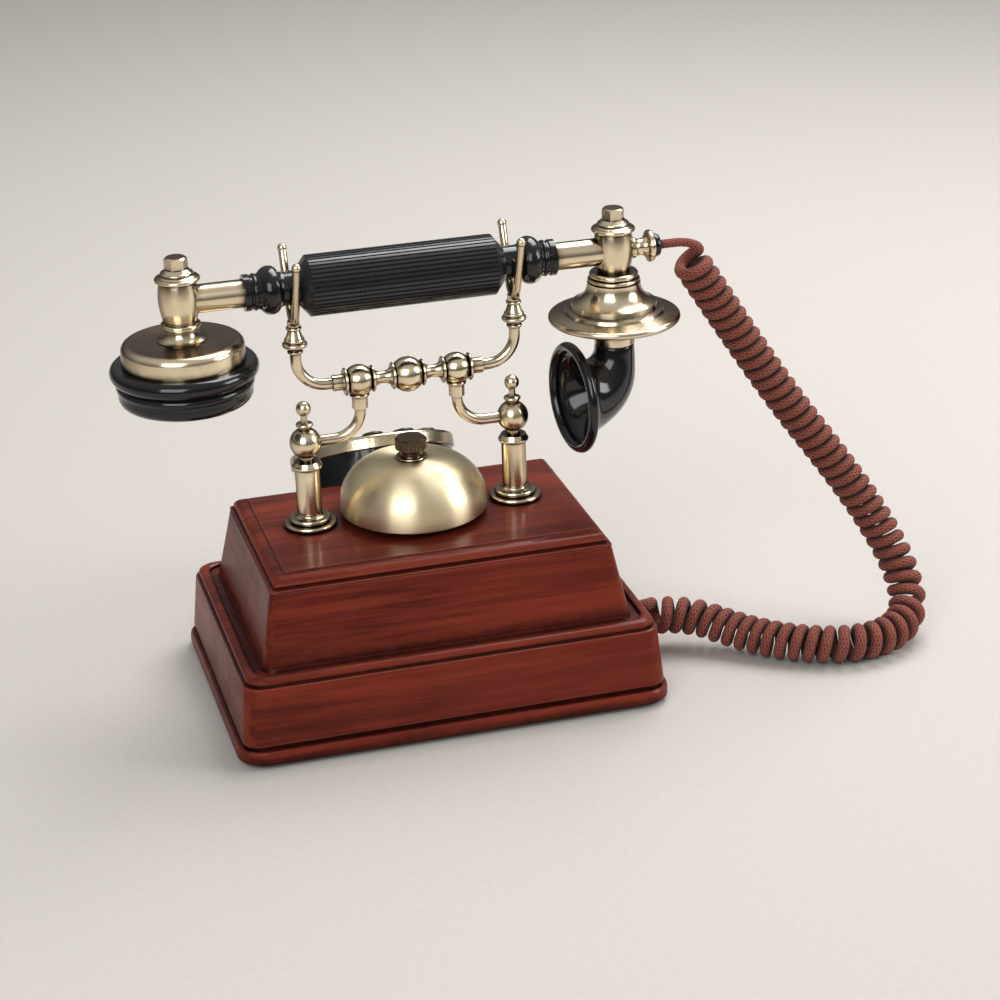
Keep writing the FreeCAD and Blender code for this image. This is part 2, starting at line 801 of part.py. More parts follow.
def make_receiver_cap():
    """Ear cap with a thick ring, a lower step and a dished face with a ring of holes."""
    top = ear_cap_top
    inner = cup_r + gap
    floor = ear_cap_bottom + dish_depth
    outline = [
        (0, floor), (dish_floor_r, floor), (dish_r, ear_cap_bottom + 1.0),
        (dish_r + 1.4, ear_cap_bottom, ear_cap_lower_r - 2.6, ear_cap_bottom + 0.4),
        (ear_cap_lower_r - 0.4, ear_cap_bottom + 2.2, ear_cap_lower_r, ear_cap_bottom + 5.0),
        (ear_cap_lower_r, ear_cap_waist - 0.8), (ear_cap_lower_r - 0.7, ear_cap_waist),
        (ear_cap_lower_r + 0.9, ear_cap_waist + 0.6),
        (ear_cap_r, (top + ear_cap_waist) / 2 + 0.2, ear_cap_lower_r + 0.7, top),
        (inner, top), (inner, cup_bottom), (cup_r - cup_wall, cup_bottom), (cup_r - cup_wall, floor + 2.2),
        (0, floor + 2.2)]
    holes = [Part.makeCylinder(ear_hole_r, 6, V(0, 0, floor - 1))]
    for number in range(6):
        turn = math.radians(60 * number)
        holes.append(Part.makeCylinder(ear_hole_r, 6, V(7 * math.cos(turn), 7 * math.sin(turn), floor - 1)))
    return placed(turned(outline).cut(holes), V(receiver_x, post_y, 0))


def make_receiver_capsule():
    low = ear_cap_bottom + dish_depth + 2.2
    radius = cup_r - cup_wall - gap
    outline = [(0, low), (radius, low), (radius, low + 5.0), (radius - 6, low + 8.0), (0, low + 8.0)]
    return turned(outline, V(receiver_x, post_y, 0))


def make_transmitter_hub():
    ring_low = hub_bottom - 3.2
    ring = turned([
        (0, ring_low), (hub_ring_r + 0.4, ring_low), (hub_ring_r + 1.2, ring_low + 1.3, hub_ring_r + 0.4,
        ring_low + 2.6),
        (hub_foot_r, ring_low + 2.9), (hub_foot_r, hub_bottom), (0, hub_bottom)])
    return placed(turned(hub_outline(hub_bottom)).fuse(ring), V(transmitter_x, post_y, 0))


def make_transmitter_bell():
    """Flared bell with steps, a wide thin disc and the collar that the horn hangs from."""
    t = hub_bottom - 3.2
    low = disc_bottom
    pocket = throat_r + 5.3
    outline = [
        (0, t), (10.6, t), (11.4, t - 0.9, 10.8, t - 1.8), (11.6, t - 2.0), (12.6, t - 6.4, 18.4,
        disc_top + 4.6),
        (18.9, disc_top + 2.4), (21.4, disc_top + 1.9), (22.0, disc_top + 0.6),
        (disc_r - 1.6, disc_top - 0.6),
        (disc_r, disc_top - 1.9, disc_r - 1.2, low), (collar_r + 9, low - 0.4), (collar_r + 0.6, low - 2.6),
        (collar_r + 0.6, collar_bottom + 3.6), (collar_r, collar_bottom + 3.2), (collar_r, collar_bottom),
        (throat_r, collar_bottom), (throat_r, low - 2.0), (pocket, low - 2.0), (pocket, low + 8.5),
        (0, low + 8.5)]
    return turned(outline, V(transmitter_x, post_y, 0))


def make_microphone():
    low = disc_bottom - 2.0
    radius = throat_r + 5.3 - gap
    outline = [(0, low), (radius, low), (radius, low + 6.0), (radius - 2, low + 7.0), (0, low + 7.0)]
    return turned(outline, V(transmitter_x, post_y, 0))


def skinned(rings):
    """Solid with straight strips between rings of two half circles each."""
    faces = [Part.Face(Part.Wire(rings[0])), Part.Face(Part.Wire(rings[-1]))]
    for first, second in zip(rings, rings[1:]):
        for edge, other in zip(first, second):
            faces.append(Part.makeRuledSurface(edge, other))
    shell = Part.Shell(faces)
    shell.sewShape()
    solid = Part.Solid(shell)
    if solid.Volume < 0:
        solid.reverse()
    return solid


def horn_rings():
    """Inner and outer ends of the horn's round sections, from its collar to its mouth."""
    c = collar_bottom
    r = collar_r
    rings = [((-r, c), (r, c)), ((-r, c - horn_rise[0]), (r + horn_rise[1], c - horn_rise[2]))]
    for inner_x, inner_z, outer_x, outer_z in horn_bend:
        rings.append(((inner_x, c - inner_z), (outer_x, c - outer_z)))
    return rings


def between(values, part):
    """Smooth value a part of the way from the second of four values to the third."""
    a, b, c, d = values
    lift = (c - a) * part + (2 * a - 5 * b + 4 * c - d) * part ** 2 + (3 * b - a - 3 * c + d) * part ** 3
    return b + lift / 2


def horn_ends():
    """The horn's sections with smooth steps between them, as inner x, inner z, outer x and outer z."""
    rings = [inner + outer for inner, outer in horn_rings()]
    rings = [rings[0]] + rings + [rings[-1]]
    ends = []
    for number in range(1, len(rings) - 2):
        for step in range(horn_steps):
            ends.append([between([r[k] for r in rings[number - 1:number + 3]],
                step / horn_steps) for k in range(4)])
    return ends + [list(rings[-1])]


def horn_body(shrink, reach):
    """Skin through the sections, drawn in by the wall and run on past both ends when it is the hollow."""
    ends = horn_ends()
    ends.insert(0, [ends[0][0], ends[0][1] + reach, ends[0][2], ends[0][3] + reach])
    ends.append([ends[-1][0] - reach, ends[-1][1], ends[-1][2] - reach, ends[-1][3]])
    if reach == 0:
        ends = ends[1:-1]
    rings = []
    for inner_x, inner_z, outer_x, outer_z in ends:
        centre = V((inner_x + outer_x) / 2, 0, (inner_z + outer_z) / 2)
        across = V(outer_x - inner_x, 0, outer_z - inner_z)
        radius = across.Length / 2 - shrink
        reach_across = across.normalize() * radius
        side = V(0, -radius, 0)
        near = Part.Arc(centre - reach_across, centre + side, centre + reach_across).toShape()
        far = Part.Arc(centre + reach_across, centre - side, centre - reach_across).toShape()
        rings.append([near, far])
    return skinned(rings)


def make_horn():
    """Black horn: a bend that widens to a rolled lip, facing along the handset."""
    rings = horn_rings()
    mouth = V(rings[-1][0][0], 0, (rings[-1][0][1] + rings[-1][1][1]) / 2)
    mouth_r = (rings[-1][0][1] - rings[-1][1][1]) / 2
    lip = Part.makeTorus(mouth_r - horn_wall / 2, horn_lip_r, mouth, V(1, 0, 0))
    horn = horn_body(0, 0).fuse(lip).cut(horn_body(horn_wall, 2.0))
    horn.rotate(V(0, 0, 0), up, horn_swivel)
    horn.translate(V(transmitter_x, post_y, 0))
    return horn


def make_hub_nuts():
    nuts = []
    for x in (receiver_x, transmitter_x):
        nut = hexagon(nut_across, hub_cap_top, nut_top, V(x, post_y, 0))
        dome = turned([(0, hub_cap_top), (5.2, hub_cap_top), (5.2, nut_top - 1.0), (4.0, nut_top),
            (0, nut_top)], V(x, post_y, 0))
        nuts.append(nut.common(dome))
    return Part.makeCompound(nuts)


def gland_face():
    return hub_reach + hub_r + gland_length + gland_flange_width + bush_length


def make_gland():
    """Turned spool on the hub's side that the cord comes out of."""
    start = hub_reach + hub_r - 1.5
    flange = hub_reach + hub_r + gland_length
    end = flange + gland_flange_width
    outline = [
        (0, start), (gland_r, start), (gland_r, start + 2.5), (gland_r - 0.9, (start + flange) / 2 + 1,
        gland_r + 0.2, flange - 0.6),
        (gland_flange_r - 0.4, flange), (gland_flange_r + 0.1, flange + gland_flange_width / 2,
        gland_flange_r - 0.4, end), (0, end)]
    return turned(outline, along(0), V(1, 0, 0)).cut(make_transmitter_hub())


def make_bush():
    end = gland_face()
    start = end - bush_length
    outline = [(0, start), (bush_r, start), (bush_r + 0.3, start + bush_length / 2, bush_r - 0.4, end),
        (0, end)]
    return turned(outline, along(0), V(1, 0, 0))


def make_handset_tube(hubs):
    tube = cylinder(tube_r, along(-hub_reach), along(hub_reach))
    bore = cylinder(tube_bore_r, along(-hub_reach), along(hub_reach))
    return max(tube.cut(bore).cut(hubs).Solids, key=lambda solid: solid.Volume)


# Bell
def gong_outline(shrink):
    """Side, shoulder and dome of the bell, drawn in by its wall for the inside."""
    r = gong_r - shrink
    top = gong_top - shrink
    rise = top - gong_shoulder_z
    reach = r - gong_lean - gong_flat_r
    bend = (reach * reach + rise * rise) / (2 * rise)
    half = math.asin(reach / bend) / 2
    middle = (gong_flat_r + bend * math.sin(half), top - bend * (1 - math.cos(half)))
    return [(r, gong_rim_z), (r - gong_lean, gong_shoulder_z), middle + (gong_flat_r, top)]


def make_gong():
    outer = gong_outline(0)
    inner = gong_outline(gong_wall)
    bottom = (gong_r - gong_wall / 2, gong_rim_z - 0.6, gong_r - gong_wall, gong_rim_z)
    eye_top = (gong_eye_r, gong_top)
    eye_low = (gong_eye_r, gong_top - gong_wall)
    back = inner[2]
    inside = [(back[2], back[3]), (back[0], back[1]) + inner[1], inner[0]]
    return turned([outer[0], outer[1], outer[2], eye_top, eye_low] + inside[:2] + [inside[2],
        bottom[:2] + outer[0]], V(0, post_y, 0))


def make_gong_post():
    top = gong_top - gong_wall
    nut_high = gong_top + washer_thick + knurl_neck_height + 1.0
    outline = [
        (0, upper_top - 8), (gong_stud_r, upper_top - 8), (gong_stud_r, board_top),
        (gong_post_r, board_top),
        (gong_post_r, top), (gong_stud_r, top), (gong_stud_r, nut_high), (0, nut_high)]
    return turned(outline, V(0, post_y, 0))


def make_gong_washer():
    outline = [
        (gong_stud_r + slip, gong_top), (washer_r, gong_top), (washer_r + 0.2, gong_top + washer_thick / 2,
        washer_r, gong_top + washer_thick),
        (gong_stud_r + slip, gong_top + washer_thick)]
    return turned(outline, V(0, post_y, 0))


def make_gong_nut():
    low = gong_top + washer_thick
    step = low + knurl_neck_height
    high = step + knurl_height
    stud_end = low + knurl_neck_height + 1.0 + slip
    bore = gong_stud_r + slip
    nut = turned([
        (0, stud_end), (bore, stud_end), (bore, low), (knurl_neck_r, low), (knurl_neck_r - 0.5,
        (low + step) / 2, knurl_neck_r, step),
        (knurl_r, step + 0.6), (knurl_r, high - 1.0), (knurl_r - 1.2, high), (0, high)], V(0, post_y, 0))
    notches = []
    for number in range(knurl_count):
        turn = 2 * math.pi * number / knurl_count
        centre = V((knurl_r + 0.25) * math.cos(turn), post_y + (knurl_r + 0.25) * math.sin(turn), step)
        notches.append(Part.makeCylinder(0.6, knurl_height, centre))
    return nut.cut(notches)


def make_ringer_yoke():
    top = upper_top
    plate = block(V(yoke_left, post_y - yoke_half_width, top - yoke_plate), V(striker_pivot_x + 8,
        post_y + yoke_half_width, top))
    pieces = []
    for side in (-1, 1):
        edge = post_y + side * yoke_half_width
        low = min(edge, edge - side * yoke_ear)
        pieces.append(block(V(striker_pivot_x - yoke_ear_half, low, striker_pivot_z - yoke_ear_drop),
            V(striker_pivot_x + 4,
            low + yoke_ear, top - yoke_plate)))
    pin = cylinder(striker_pin_r, V(striker_pivot_x, post_y - yoke_half_width, striker_pivot_z),
                   V(striker_pivot_x, post_y + yoke_half_width, striker_pivot_z))
    coil_z = top - yoke_plate - coil_r
    ear = block(V(yoke_left, post_y - coil_ear_half, coil_z - coil_r), V(yoke_left + yoke_ear,
        post_y + coil_ear_half, top - yoke_plate))
    core = cylinder(coil_core_r, V(yoke_left + yoke_ear, post_y, coil_z),
        V(yoke_left + yoke_ear + coil_length + core_end, post_y, coil_z))
    stud = cylinder(gong_stud_r + slip, V(0, post_y, top - yoke_plate), V(0, post_y, top))
    return plate.multiFuse(pieces + [pin, ear, core]).cut([stud, striker_slot(top - yoke_plate, top)])


def make_ringer_coil():
    coil_z = upper_top - yoke_plate - coil_r
    start = yoke_left + yoke_ear
    cheek = 1.2
    outline = [
        (coil_core_r + slip, start), (coil_r, start), (coil_r, start + cheek), (coil_r - 1, start + cheek),
        (coil_r - 1, start + coil_length - cheek), (coil_r, start + coil_length - cheek),
        (coil_r, start + coil_length),
        (coil_core_r + slip, start + coil_length)]
    return turned(outline, V(0, post_y, coil_z), V(1, 0, 0))


def make_striker():
    pivot = V(striker_pivot_x, post_y, striker_pivot_z)
    inside = yoke_half_width - yoke_ear - gap
    side = V(0, inside, 0)
    ball_point = V(striker_ball_x, post_y, striker_ball_z)
    hub = cylinder(striker_hub_r, pivot - side, pivot + side)
    arm = cylinder(striker_arm_r, pivot, ball_point)
    ball = Part.makeSphere(striker_ball_r, ball_point)
    armature = block(V(striker_pivot_x - 9, post_y - 4, striker_pivot_z - 1), V(striker_pivot_x,
        post_y + 4, striker_pivot_z + 1))
    bore = cylinder(striker_pin_r + slip, pivot - side, pivot + side)
    return hub.multiFuse([arm, ball, armature]).cut(bore)


# Dial
def on_dial(radius, turn, height):
    """Point on the dial: radius and turn about its axis, height above its rim."""
    across = V(1, 0, 0)
    upward = dial_axis.cross(across) * -1
    a = math.radians(turn)
    flat = across * (radius * math.sin(a)) + upward * (radius * math.cos(a))
    return dial_centre_point + flat + dial_axis * height


def key_turn(number):
    return key_first + 360.0 / len(key_marks) * number


def dial_turned(outline):
    return turned(outline, dial_centre_point, dial_axis)


def key_board_low():
    """Underside of the key board, low enough for the keys' travel."""
    under_keys = face_drop + face_thick + gap + key_flange
    return -(under_keys + key_travel + gap + key_dome + key_board_thick)


def make_dial_cup():
    top = -bezel_height
    low = top - dial_cup_depth
    r = dial_cup_r
    w = dial_cup_wall
    k = dial_cup_round
    bend = k * (1 - math.sqrt(0.5))
    inner_bend = (k - w) * (1 - math.sqrt(0.5))
    shelf = key_board_low()
    outline = [
        (0, low), (r - k, low), (r - bend, low + bend, r, low + k), (r, top), (r - 0.8, top),
        (r - 0.8, shelf), (r - w - 1.6, shelf),
        (r - w - 1.6, shelf - 3), (r - w, shelf - 5), (r - w, low + k), (r - w - inner_bend,
        low + w + inner_bend, r - k, low + w), (0, low + w)]
    return dial_turned(outline)


def make_dial_bezel():
    outer = bezel_r
    inner = dial_cup_r - 0.8 + slip
    lip = bezel_r - bezel_lip
    outline = [
        (inner, -bezel_height), (outer - 0.6, -bezel_height), (outer, -bezel_height + 0.6), (outer, -1.6),
        (outer - 0.5, -0.5, outer - 1.6, 0), (lip + 0.5, 0), (lip, -0.5), (lip, -face_drop),
        (inner, -face_drop)]
    return dial_turned(outline)


def make_dial_face():
    low = -face_drop - face_thick
    plate = dial_turned([(0, low), (dial_cup_r - 0.8 - slip, low), (dial_cup_r - 0.8 - slip, -face_drop),
        (0, -face_drop)])
    holes = []
    for number in range(len(key_marks)):
        turn = key_turn(number)
        holes.append(cylinder(key_r + gap, on_dial(key_circle_r, turn, low - 1), on_dial(key_circle_r,
            turn, 1)))
    return plate.cut(holes)


def crown(radius, low, high):
    """End of an outline: a low dome over the axis from a rim at one height."""
    rise = high - low
    ball = (radius ** 2 + rise ** 2) / (2 * rise)
    half = math.asin(radius / ball) / 2
    return ball * math.sin(half), high - ball + ball * math.cos(half), 0, high


def make_dial_centre():
    low = -face_drop
    outline = [
        (0, low), (centre_cap_r, low), (centre_cap_r, low + 0.9), (centre_cap_r - 0.8, low + 1.6),
        (centre_cap_r - 3.4, low + 1.2), crown(centre_cap_r - 3.4, low + 1.2, low + centre_cap_height)]
    return dial_turned(outline)


def make_key_board():
    low = key_board_low()
    radius = dial_cup_r - 0.8 - slip
    board = dial_turned([(0, low), (radius, low), (radius, low + key_board_thick),
        (0, low + key_board_thick)])
    domes = []
    for number in range(len(key_marks)):
        turn = key_turn(number)
        domes.append(cylinder(2.6, on_dial(key_circle_r, turn, low + key_board_thick),
            on_dial(key_circle_r, turn, low + key_board_thick + key_dome)))
    pillar = dial_turned([(0, low), (5.0, low), (5.0, -face_drop - face_thick),
        (0, -face_drop - face_thick)])
    return board.multiFuse(domes + [pillar])


def make_key(turn):
    """Push key: a low dome on a stem, with a flange that keeps it under the plate."""
    top = -face_drop + key_height
    under = -face_drop - face_thick - gap
    outline = [
        (0, under - key_flange), (key_flange_r, under - key_flange), (key_flange_r, under), (key_r, under),
        (key_r, top - 1.4), (key_r - 0.3, top - 0.8, key_r - 1.0, top - 0.5), crown(key_r - 1.0, top - 0.5,
        top)]
    key = turned(outline)
    key.Placement = Placement(on_dial(key_circle_r, turn, 0), Rotation(up, dial_axis))
    return key


# Inside the case
def lever_pivot():
    return V(post_x - lever_reach, post_y, plunger_bottom - lever_drop)


def make_hook_switch():
    pivot = lever_pivot()
    near = post_y + lever_width / 2 + gap
    body = block(V(pivot.x - switch_depth / 2, near, pivot.z - 4), V(pivot.x + switch_depth / 2,
        near + switch_width, upper_top))
    pin = cylinder(lever_pin_r, V(pivot.x, post_y - lever_width / 2 - 0.6, pivot.z),
        V(pivot.x, near, pivot.z))
    return body.fuse(pin)


def make_hook_lever():
    pivot = lever_pivot()
    side = V(0, lever_width / 2, 0)
    boss = cylinder(lever_hub_r, pivot - side, pivot + side)
    top = plunger_bottom - lever_rest
    arm = block(V(pivot.x, post_y - lever_width / 2, top - lever_thick),
        V(post_x, post_y + lever_width / 2, top))
    bore = cylinder(lever_pin_r + slip, pivot - side, pivot + side)
    return boss.fuse(arm).cut(bore)


def make_hook_spring():
    """Compression spring under the left plunger, wound round the pin on its boss."""
    low = boss_top + spring_wire_r + 0.05
    high = plunger_bottom - spring_wire_r - 0.05
    radius = spring_r - spring_wire_r
    steps = spring_turns * 2
    rise = (high - low) / steps
    slope = rise / (math.pi * radius)
    points = []
    ways = []
    for number in range(steps + 1):
        turn = math.pi * number
        points.append(V(-post_x + radius * math.cos(turn), post_y + radius * math.sin(turn),
            low + rise * number))
        ways.append(V(-math.sin(turn), math.cos(turn), slope).normalize())
    spring, path = swept_wire(points, ways, spring_wire_r)
    return spring


def make_circuit_board():
    high = circuit_z + circuit_thick
    board = block(V(circuit_left, -circuit_half_depth, circuit_z), V(circuit_right, circuit_half_depth,
        high))
    pieces = []
    for x, y, length, depth, height in circuit_blocks:
        pieces.append(block(V(x, y, high), V(x + length, y + depth, high + height)))
    for x in capacitor_x:
        top = high + capacitor_height
        pieces.append(cylinder(capacitor_r, V(x, capacitor_y, high), V(x, capacitor_y, top)))
    return board.multiFuse(pieces)


def make_line_jack():
    half = jack_width / 2
    body = block(V(jack_face_x - jack_depth, jack_y - half, jack_z - jack_height / 2),
        V(jack_face_x, jack_y + half, jack_z + jack_height / 2))
    socket = block(V(jack_face_x - socket_depth, jack_y - socket_width / 2, jack_z - socket_height / 2),
                   V(jack_face_x, jack_y + socket_width / 2, jack_z + socket_height / 2))
    return body.cut(socket)


def make_cord_boot():
    seat = boot_seat_x
    outline = [
        (0, seat - boot_plug_length), (boot_r, seat - boot_plug_length), (boot_r, seat),
        (boot_flange_r - 0.3, seat),
        (boot_flange_r, seat + 0.3), (boot_flange_r, seat + boot_flange_width - 0.6), (boot_flange_r - 0.8,
        seat + boot_flange_width),
        (boot_r, seat + boot_flange_width + 0.4), (boot_tip_r, boot_tip_x), (0, boot_tip_x)]
    return turned(outline, V(0, boot_y, boot_z), V(1, 0, 0))


# Curly cord
def tail_corner():
    """Corner of the handset's tail, with its reach along each run."""
    half_turn = V(1, 0, 0).getAngle(cord_drop) / 2
    return along(gland_face() + tail_run), tail_bend * math.tan(half_turn)


def tail_end():
    corner, reach = tail_corner()
    return corner + V(*cord_drop).normalize() * (reach + 2 * tail_r)


def coil_poles():
    """Line of the coil's middle: it leaves the handset's tail and arrives level at the base."""
    way = V(*cord_drop).normalize()
    side = V(0, 1, 0).cross(way) * -1
    start = tail_end() + way * (2 * curl_wire_r) - side * curl_r
    end = V(boot_tip_x + base_tail_length + 2 * curl_wire_r, boot_y, boot_z - curl_r)
    return [start, start + way * 20] + coil_middle + [end + V(coil_level, 0, 0), end]


def coil_axis():
    """Smooth line through the coil's middle, a quadratic curve held at both ends."""
    poles = coil_poles()
    count = len(poles)
    curve = Part.BSplineCurve()
    knots = list(range(count - 1))
    curve.buildFromPolesMultsKnots(poles, [3] + [1] * (count - 3) + [3], knots, False, 2)
    return curve


def coil_samples():
    """Evenly spaced points of the line, with a frame that doesn't twist and the turn reached at each."""
    curve = coil_axis()
    length = curve.length()
    steps = 1600
    step = length / steps
    rows = []
    side = None
    turn = 0.0
    for number in range(steps + 1):
        reach = min(max(step * number, 1e-6), length - 1e-6)
        parameter = curve.parameterAtDistance(reach, curve.FirstParameter)
        point = curve.value(parameter)
        way = V(*curve.tangent(parameter)[0]).normalize()
        if side is None:
            side = V(0, 1, 0).cross(way) * -1
        side = (side - way * side.dot(way)).normalize()
        bend = curve.curvature(parameter)
        pitch = max(curl_pitch, (2 * curl_wire_r + curl_gap) / (1 - bend * curl_r))
        ramp = min(1.0, reach / curl_lead, (length - reach) / curl_lead)
        turn += ramp * ramp * (3 - 2 * ramp) * step / pitch
        rows.append((point, way, side, turn))
    return rows, step


def curl_path():
    """Points and directions along the curls, a quarter turn apart, with a straight lead at each end."""
    rows, step = coil_samples()
    point, way, side, turn = rows[-1]
    last = -math.atan2(way.cross(side).dot(up), side.dot(up)) / (2 * math.pi) % 1
    whole = round(turn - last) + last
    factor = whole / turn

    def spot(number):
        point, way, side, turn = rows[number]
        angle = -2 * math.pi * turn * factor
        return point + (side * math.cos(angle) + way.cross(side) * math.sin(angle)) * curl_r

    marks = [0]
    for number in range(1, len(rows) - 1):
        waited = number - marks[-1]
        if (rows[number][3] - rows[marks[-1]][3]) * factor >= 0.25 or waited * step >= 3.0:
            marks.append(number)
    marks[-1] = len(rows) - 1
    points = []
    ways = []
    for number in marks:
        before = max(number - 1, 0)
        after = min(number + 1, len(rows) - 1)
        points.append(spot(number))
        ways.append((spot(after) - spot(before)).normalize())
    ways[0] = rows[0][1]
    ways[-1] = rows[-1][1]
    points.insert(0, points[0] - ways[0] * 2 * curl_wire_r)
    ways.insert(0, ways[0])
    points.append(points[-1] + ways[-1] * 2 * curl_wire_r)
    ways.append(ways[-1])
    return points, ways, whole


def least_gap(path, radius):
    """Smallest distance between stretches of a tube that aren't neighbours, measured on points."""
    points = path.discretize(Distance=0.7)
    skip = int(4 * radius / 0.7) + 3
    cell = 4 * radius
    grid = {}
    least = 1e9
    for number, p in enumerate(points):
        key = (int(p.x // cell), int(p.y // cell), int(p.z // cell))
        for dx in (-1, 0, 1):
            for dy in (-1, 0, 1):
                for dz in (-1, 0, 1):
                    for other in grid.get((key[0] + dx, key[1] + dy, key[2] + dz), ()):
                        if number - other > skip:
                            least = min(least, (p - points[other]).Length)
        grid.setdefault(key, []).append(number)
    return least - 2 * radius


def report_tube(name, solid, path, radius):
    ratio = solid.Volume / (math.pi * radius * radius * path.Length)
    lowest = min(p.z for p in path.discretize(Distance=0.5)) - radius
    print(name, "length", round(path.Length, 1), "volume over section times length", round(ratio, 4),
        "lowest", round(lowest, 2))


def make_curly_cord():
    points, ways, turns = curl_path()
    cord, path = swept_wire(points, ways, curl_wire_r)
    report_tube("curly_cord", cord, path, curl_wire_r)
    print("curls", turns, "least gap", round(least_gap(path, curl_wire_r), 2))
    print("from", points[0], "to", points[-1])
    return cord


def make_handset_tail():
    corner, reach = tail_corner()
    tail, path = bent_tube([along(gland_face()), corner, tail_end()], [tail_bend], tail_r)
    report_tube("handset_cord_tail", tail, path, tail_r)
    print("handset_cord_tail radius", tail_bend)
    return tail


def make_base_tail():
    start = V(boot_tip_x, boot_y, boot_z)
    return cylinder(tail_r, start, start + V(base_tail_length, 0, 0))


# Export
def export(name, shape):
    if shape.ShapeType == "Compound" and len(shape.Solids) == 1:
        shape = shape.Solids[0]
    shape.exportStep("parts/" + name + ".step")
    print(name, len(shape.Solids), "solids", round(shape.Volume / 1000, 2), "cm3",
        "valid" if shape.isValid() else "INVALID")


def both_ends(shape, spot=0.0):
    """A right-hand piece and its mirror image, as one group."""
    other = mirrored(placed(shape, V(-spot, 0, 0)))
    return Part.makeCompound([shape, placed(other, V(spot, 0, 0))])


export("lower_case", make_lower_case())
export("upper_case", make_upper_case())
export("top_board", make_top_board())
export("bottom_cover", make_bottom_cover())
export("felt_pad", make_felt_pad())
export("case_fasteners", make_fasteners())
export("posts", Part.makeCompound([make_post(-post_x), make_post(post_x)]))
export("left_post_ball", make_post_ball(-post_x))
export("right_post_ball", make_post_ball(post_x))
export("cradle_bar", make_cradle_bar())
export("support_arms", both_ends(make_support_arm()))
export("fork_arms", both_ends(make_fork_arm()))
export("left_fork", make_fork(-fork_x))
export("right_fork", make_fork(fork_x))
export("grip", make_grip())
ferrule = make_ferrule()
export("ferrules", Part.makeCompound([both_ends(ferrule, handset_shift), make_bush()]))
receiver_hub = make_receiver_hub()
transmitter_hub = make_transmitter_hub()
export("receiver_hub", receiver_hub)
export("transmitter_hub", transmitter_hub)
export("handset_tube", make_handset_tube([receiver_hub, transmitter_hub]))
export("receiver_cup", make_receiver_cup())
export("receiver_cap", make_receiver_cap())
export("receiver_capsule", make_receiver_capsule())
export("transmitter_bell", make_transmitter_bell())
export("microphone_capsule", make_microphone())
export("mouthpiece_horn", make_horn())
export("hub_nuts", make_hub_nuts())
export("cord_gland", make_gland())
export("gong", make_gong())
export("gong_post", make_gong_post())
export("gong_washer", make_gong_washer())
export("gong_nut", make_gong_nut())
export("ringer_yoke", make_ringer_yoke())
export("ringer_coil", make_ringer_coil())
export("bell_striker", make_striker())
export("dial_cup", make_dial_cup())
export("dial_bezel", make_dial_bezel())
export("dial_face", make_dial_face())
export("dial_centre", make_dial_centre())
export("key_board", make_key_board())
for number, mark in enumerate(key_marks):
    export("key_" + mark, make_key(key_turn(number)))
export("hook_switch", make_hook_switch())
export("hook_lever", make_hook_lever())
export("hook_spring", make_hook_spring())
export("circuit_board", make_circuit_board())
export("line_jack", make_line_jack())
export("cord_boot", make_cord_boot())
export("curly_cord", make_curly_cord())
export("handset_cord_tail", make_handset_tail())
export("base_cord_tail", make_base_tail())
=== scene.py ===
import math

import bpy
from bpy.props import FloatProperty, FloatVectorProperty, IntProperty, PointerProperty
from bpy.types import Operator, Panel, PropertyGroup
from mathutils import Matrix, Vector


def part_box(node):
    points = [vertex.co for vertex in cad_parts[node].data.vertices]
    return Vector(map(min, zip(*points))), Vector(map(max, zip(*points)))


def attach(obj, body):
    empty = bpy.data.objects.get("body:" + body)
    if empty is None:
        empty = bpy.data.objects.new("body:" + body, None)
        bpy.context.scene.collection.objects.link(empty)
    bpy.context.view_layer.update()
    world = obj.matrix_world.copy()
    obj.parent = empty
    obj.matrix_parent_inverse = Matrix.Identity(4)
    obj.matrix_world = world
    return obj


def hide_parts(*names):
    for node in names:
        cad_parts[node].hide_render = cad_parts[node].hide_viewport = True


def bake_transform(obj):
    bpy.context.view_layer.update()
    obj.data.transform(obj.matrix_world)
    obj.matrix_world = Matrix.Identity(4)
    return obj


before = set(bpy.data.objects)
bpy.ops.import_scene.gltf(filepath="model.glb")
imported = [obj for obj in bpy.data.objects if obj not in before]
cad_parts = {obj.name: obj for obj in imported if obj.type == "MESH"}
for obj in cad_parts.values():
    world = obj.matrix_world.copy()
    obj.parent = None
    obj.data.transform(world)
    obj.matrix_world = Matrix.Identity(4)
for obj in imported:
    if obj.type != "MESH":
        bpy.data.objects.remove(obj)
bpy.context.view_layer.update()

bl_info = {
    "name": "Cradle telephone",
    "version": (1, 0, 0),
    "blender": (4, 5, 0),
    "location": "View3D > Sidebar > Telephone",
    "description": "Dresses the cradle telephone: cord, turned and moulded pieces, finishes, figures and stage",
    "category": "Object",
}

# Nodes of the frame that keep their CAD shape, by finish
WOOD_NODES = ("upper_case",)
UPRIGHT_BRASS = ("left_post_ball", "right_post_ball", "receiver_hub", "transmitter_hub", "transmitter_bell")
LEVEL_BRASS = ("cradle_bar", "handset_tube", "cord_gland")
PLAIN_BRASS = (
    "posts", "support_arms", "fork_arms", "left_fork", "right_fork", "dial_bezel", "dial_centre", "hub_nuts")
BLACK_NODES = ("ferrules", "receiver_cap", "dial_cup", "dial_face")
STEEL_NODES = ("case_fasteners", "gong_post", "ringer_yoke", "bell_striker", "hook_lever", "hook_spring")
DARK_NODES = ("bottom_cover", "hook_switch", "line_jack", "receiver_capsule", "microphone_capsule")
BOARD_NODES = ("key_board", "circuit_board")
KEY_MARKS = {**{str(number): str(number) for number in range(1, 10)}, "star": "*", "0": "0", "hash": "#"}

# Places that several pieces share, in metres
BOOT_PLACE = Vector((0, -0.0120, 0.0215))
DIAL_MIDDLE = Vector((0, 0.0867, 0.0753))
DIAL_OUT = Vector((0, 0.5, math.sqrt(0.75)))
DIAL_UP = Vector((0, -math.sqrt(0.75), 0.5))

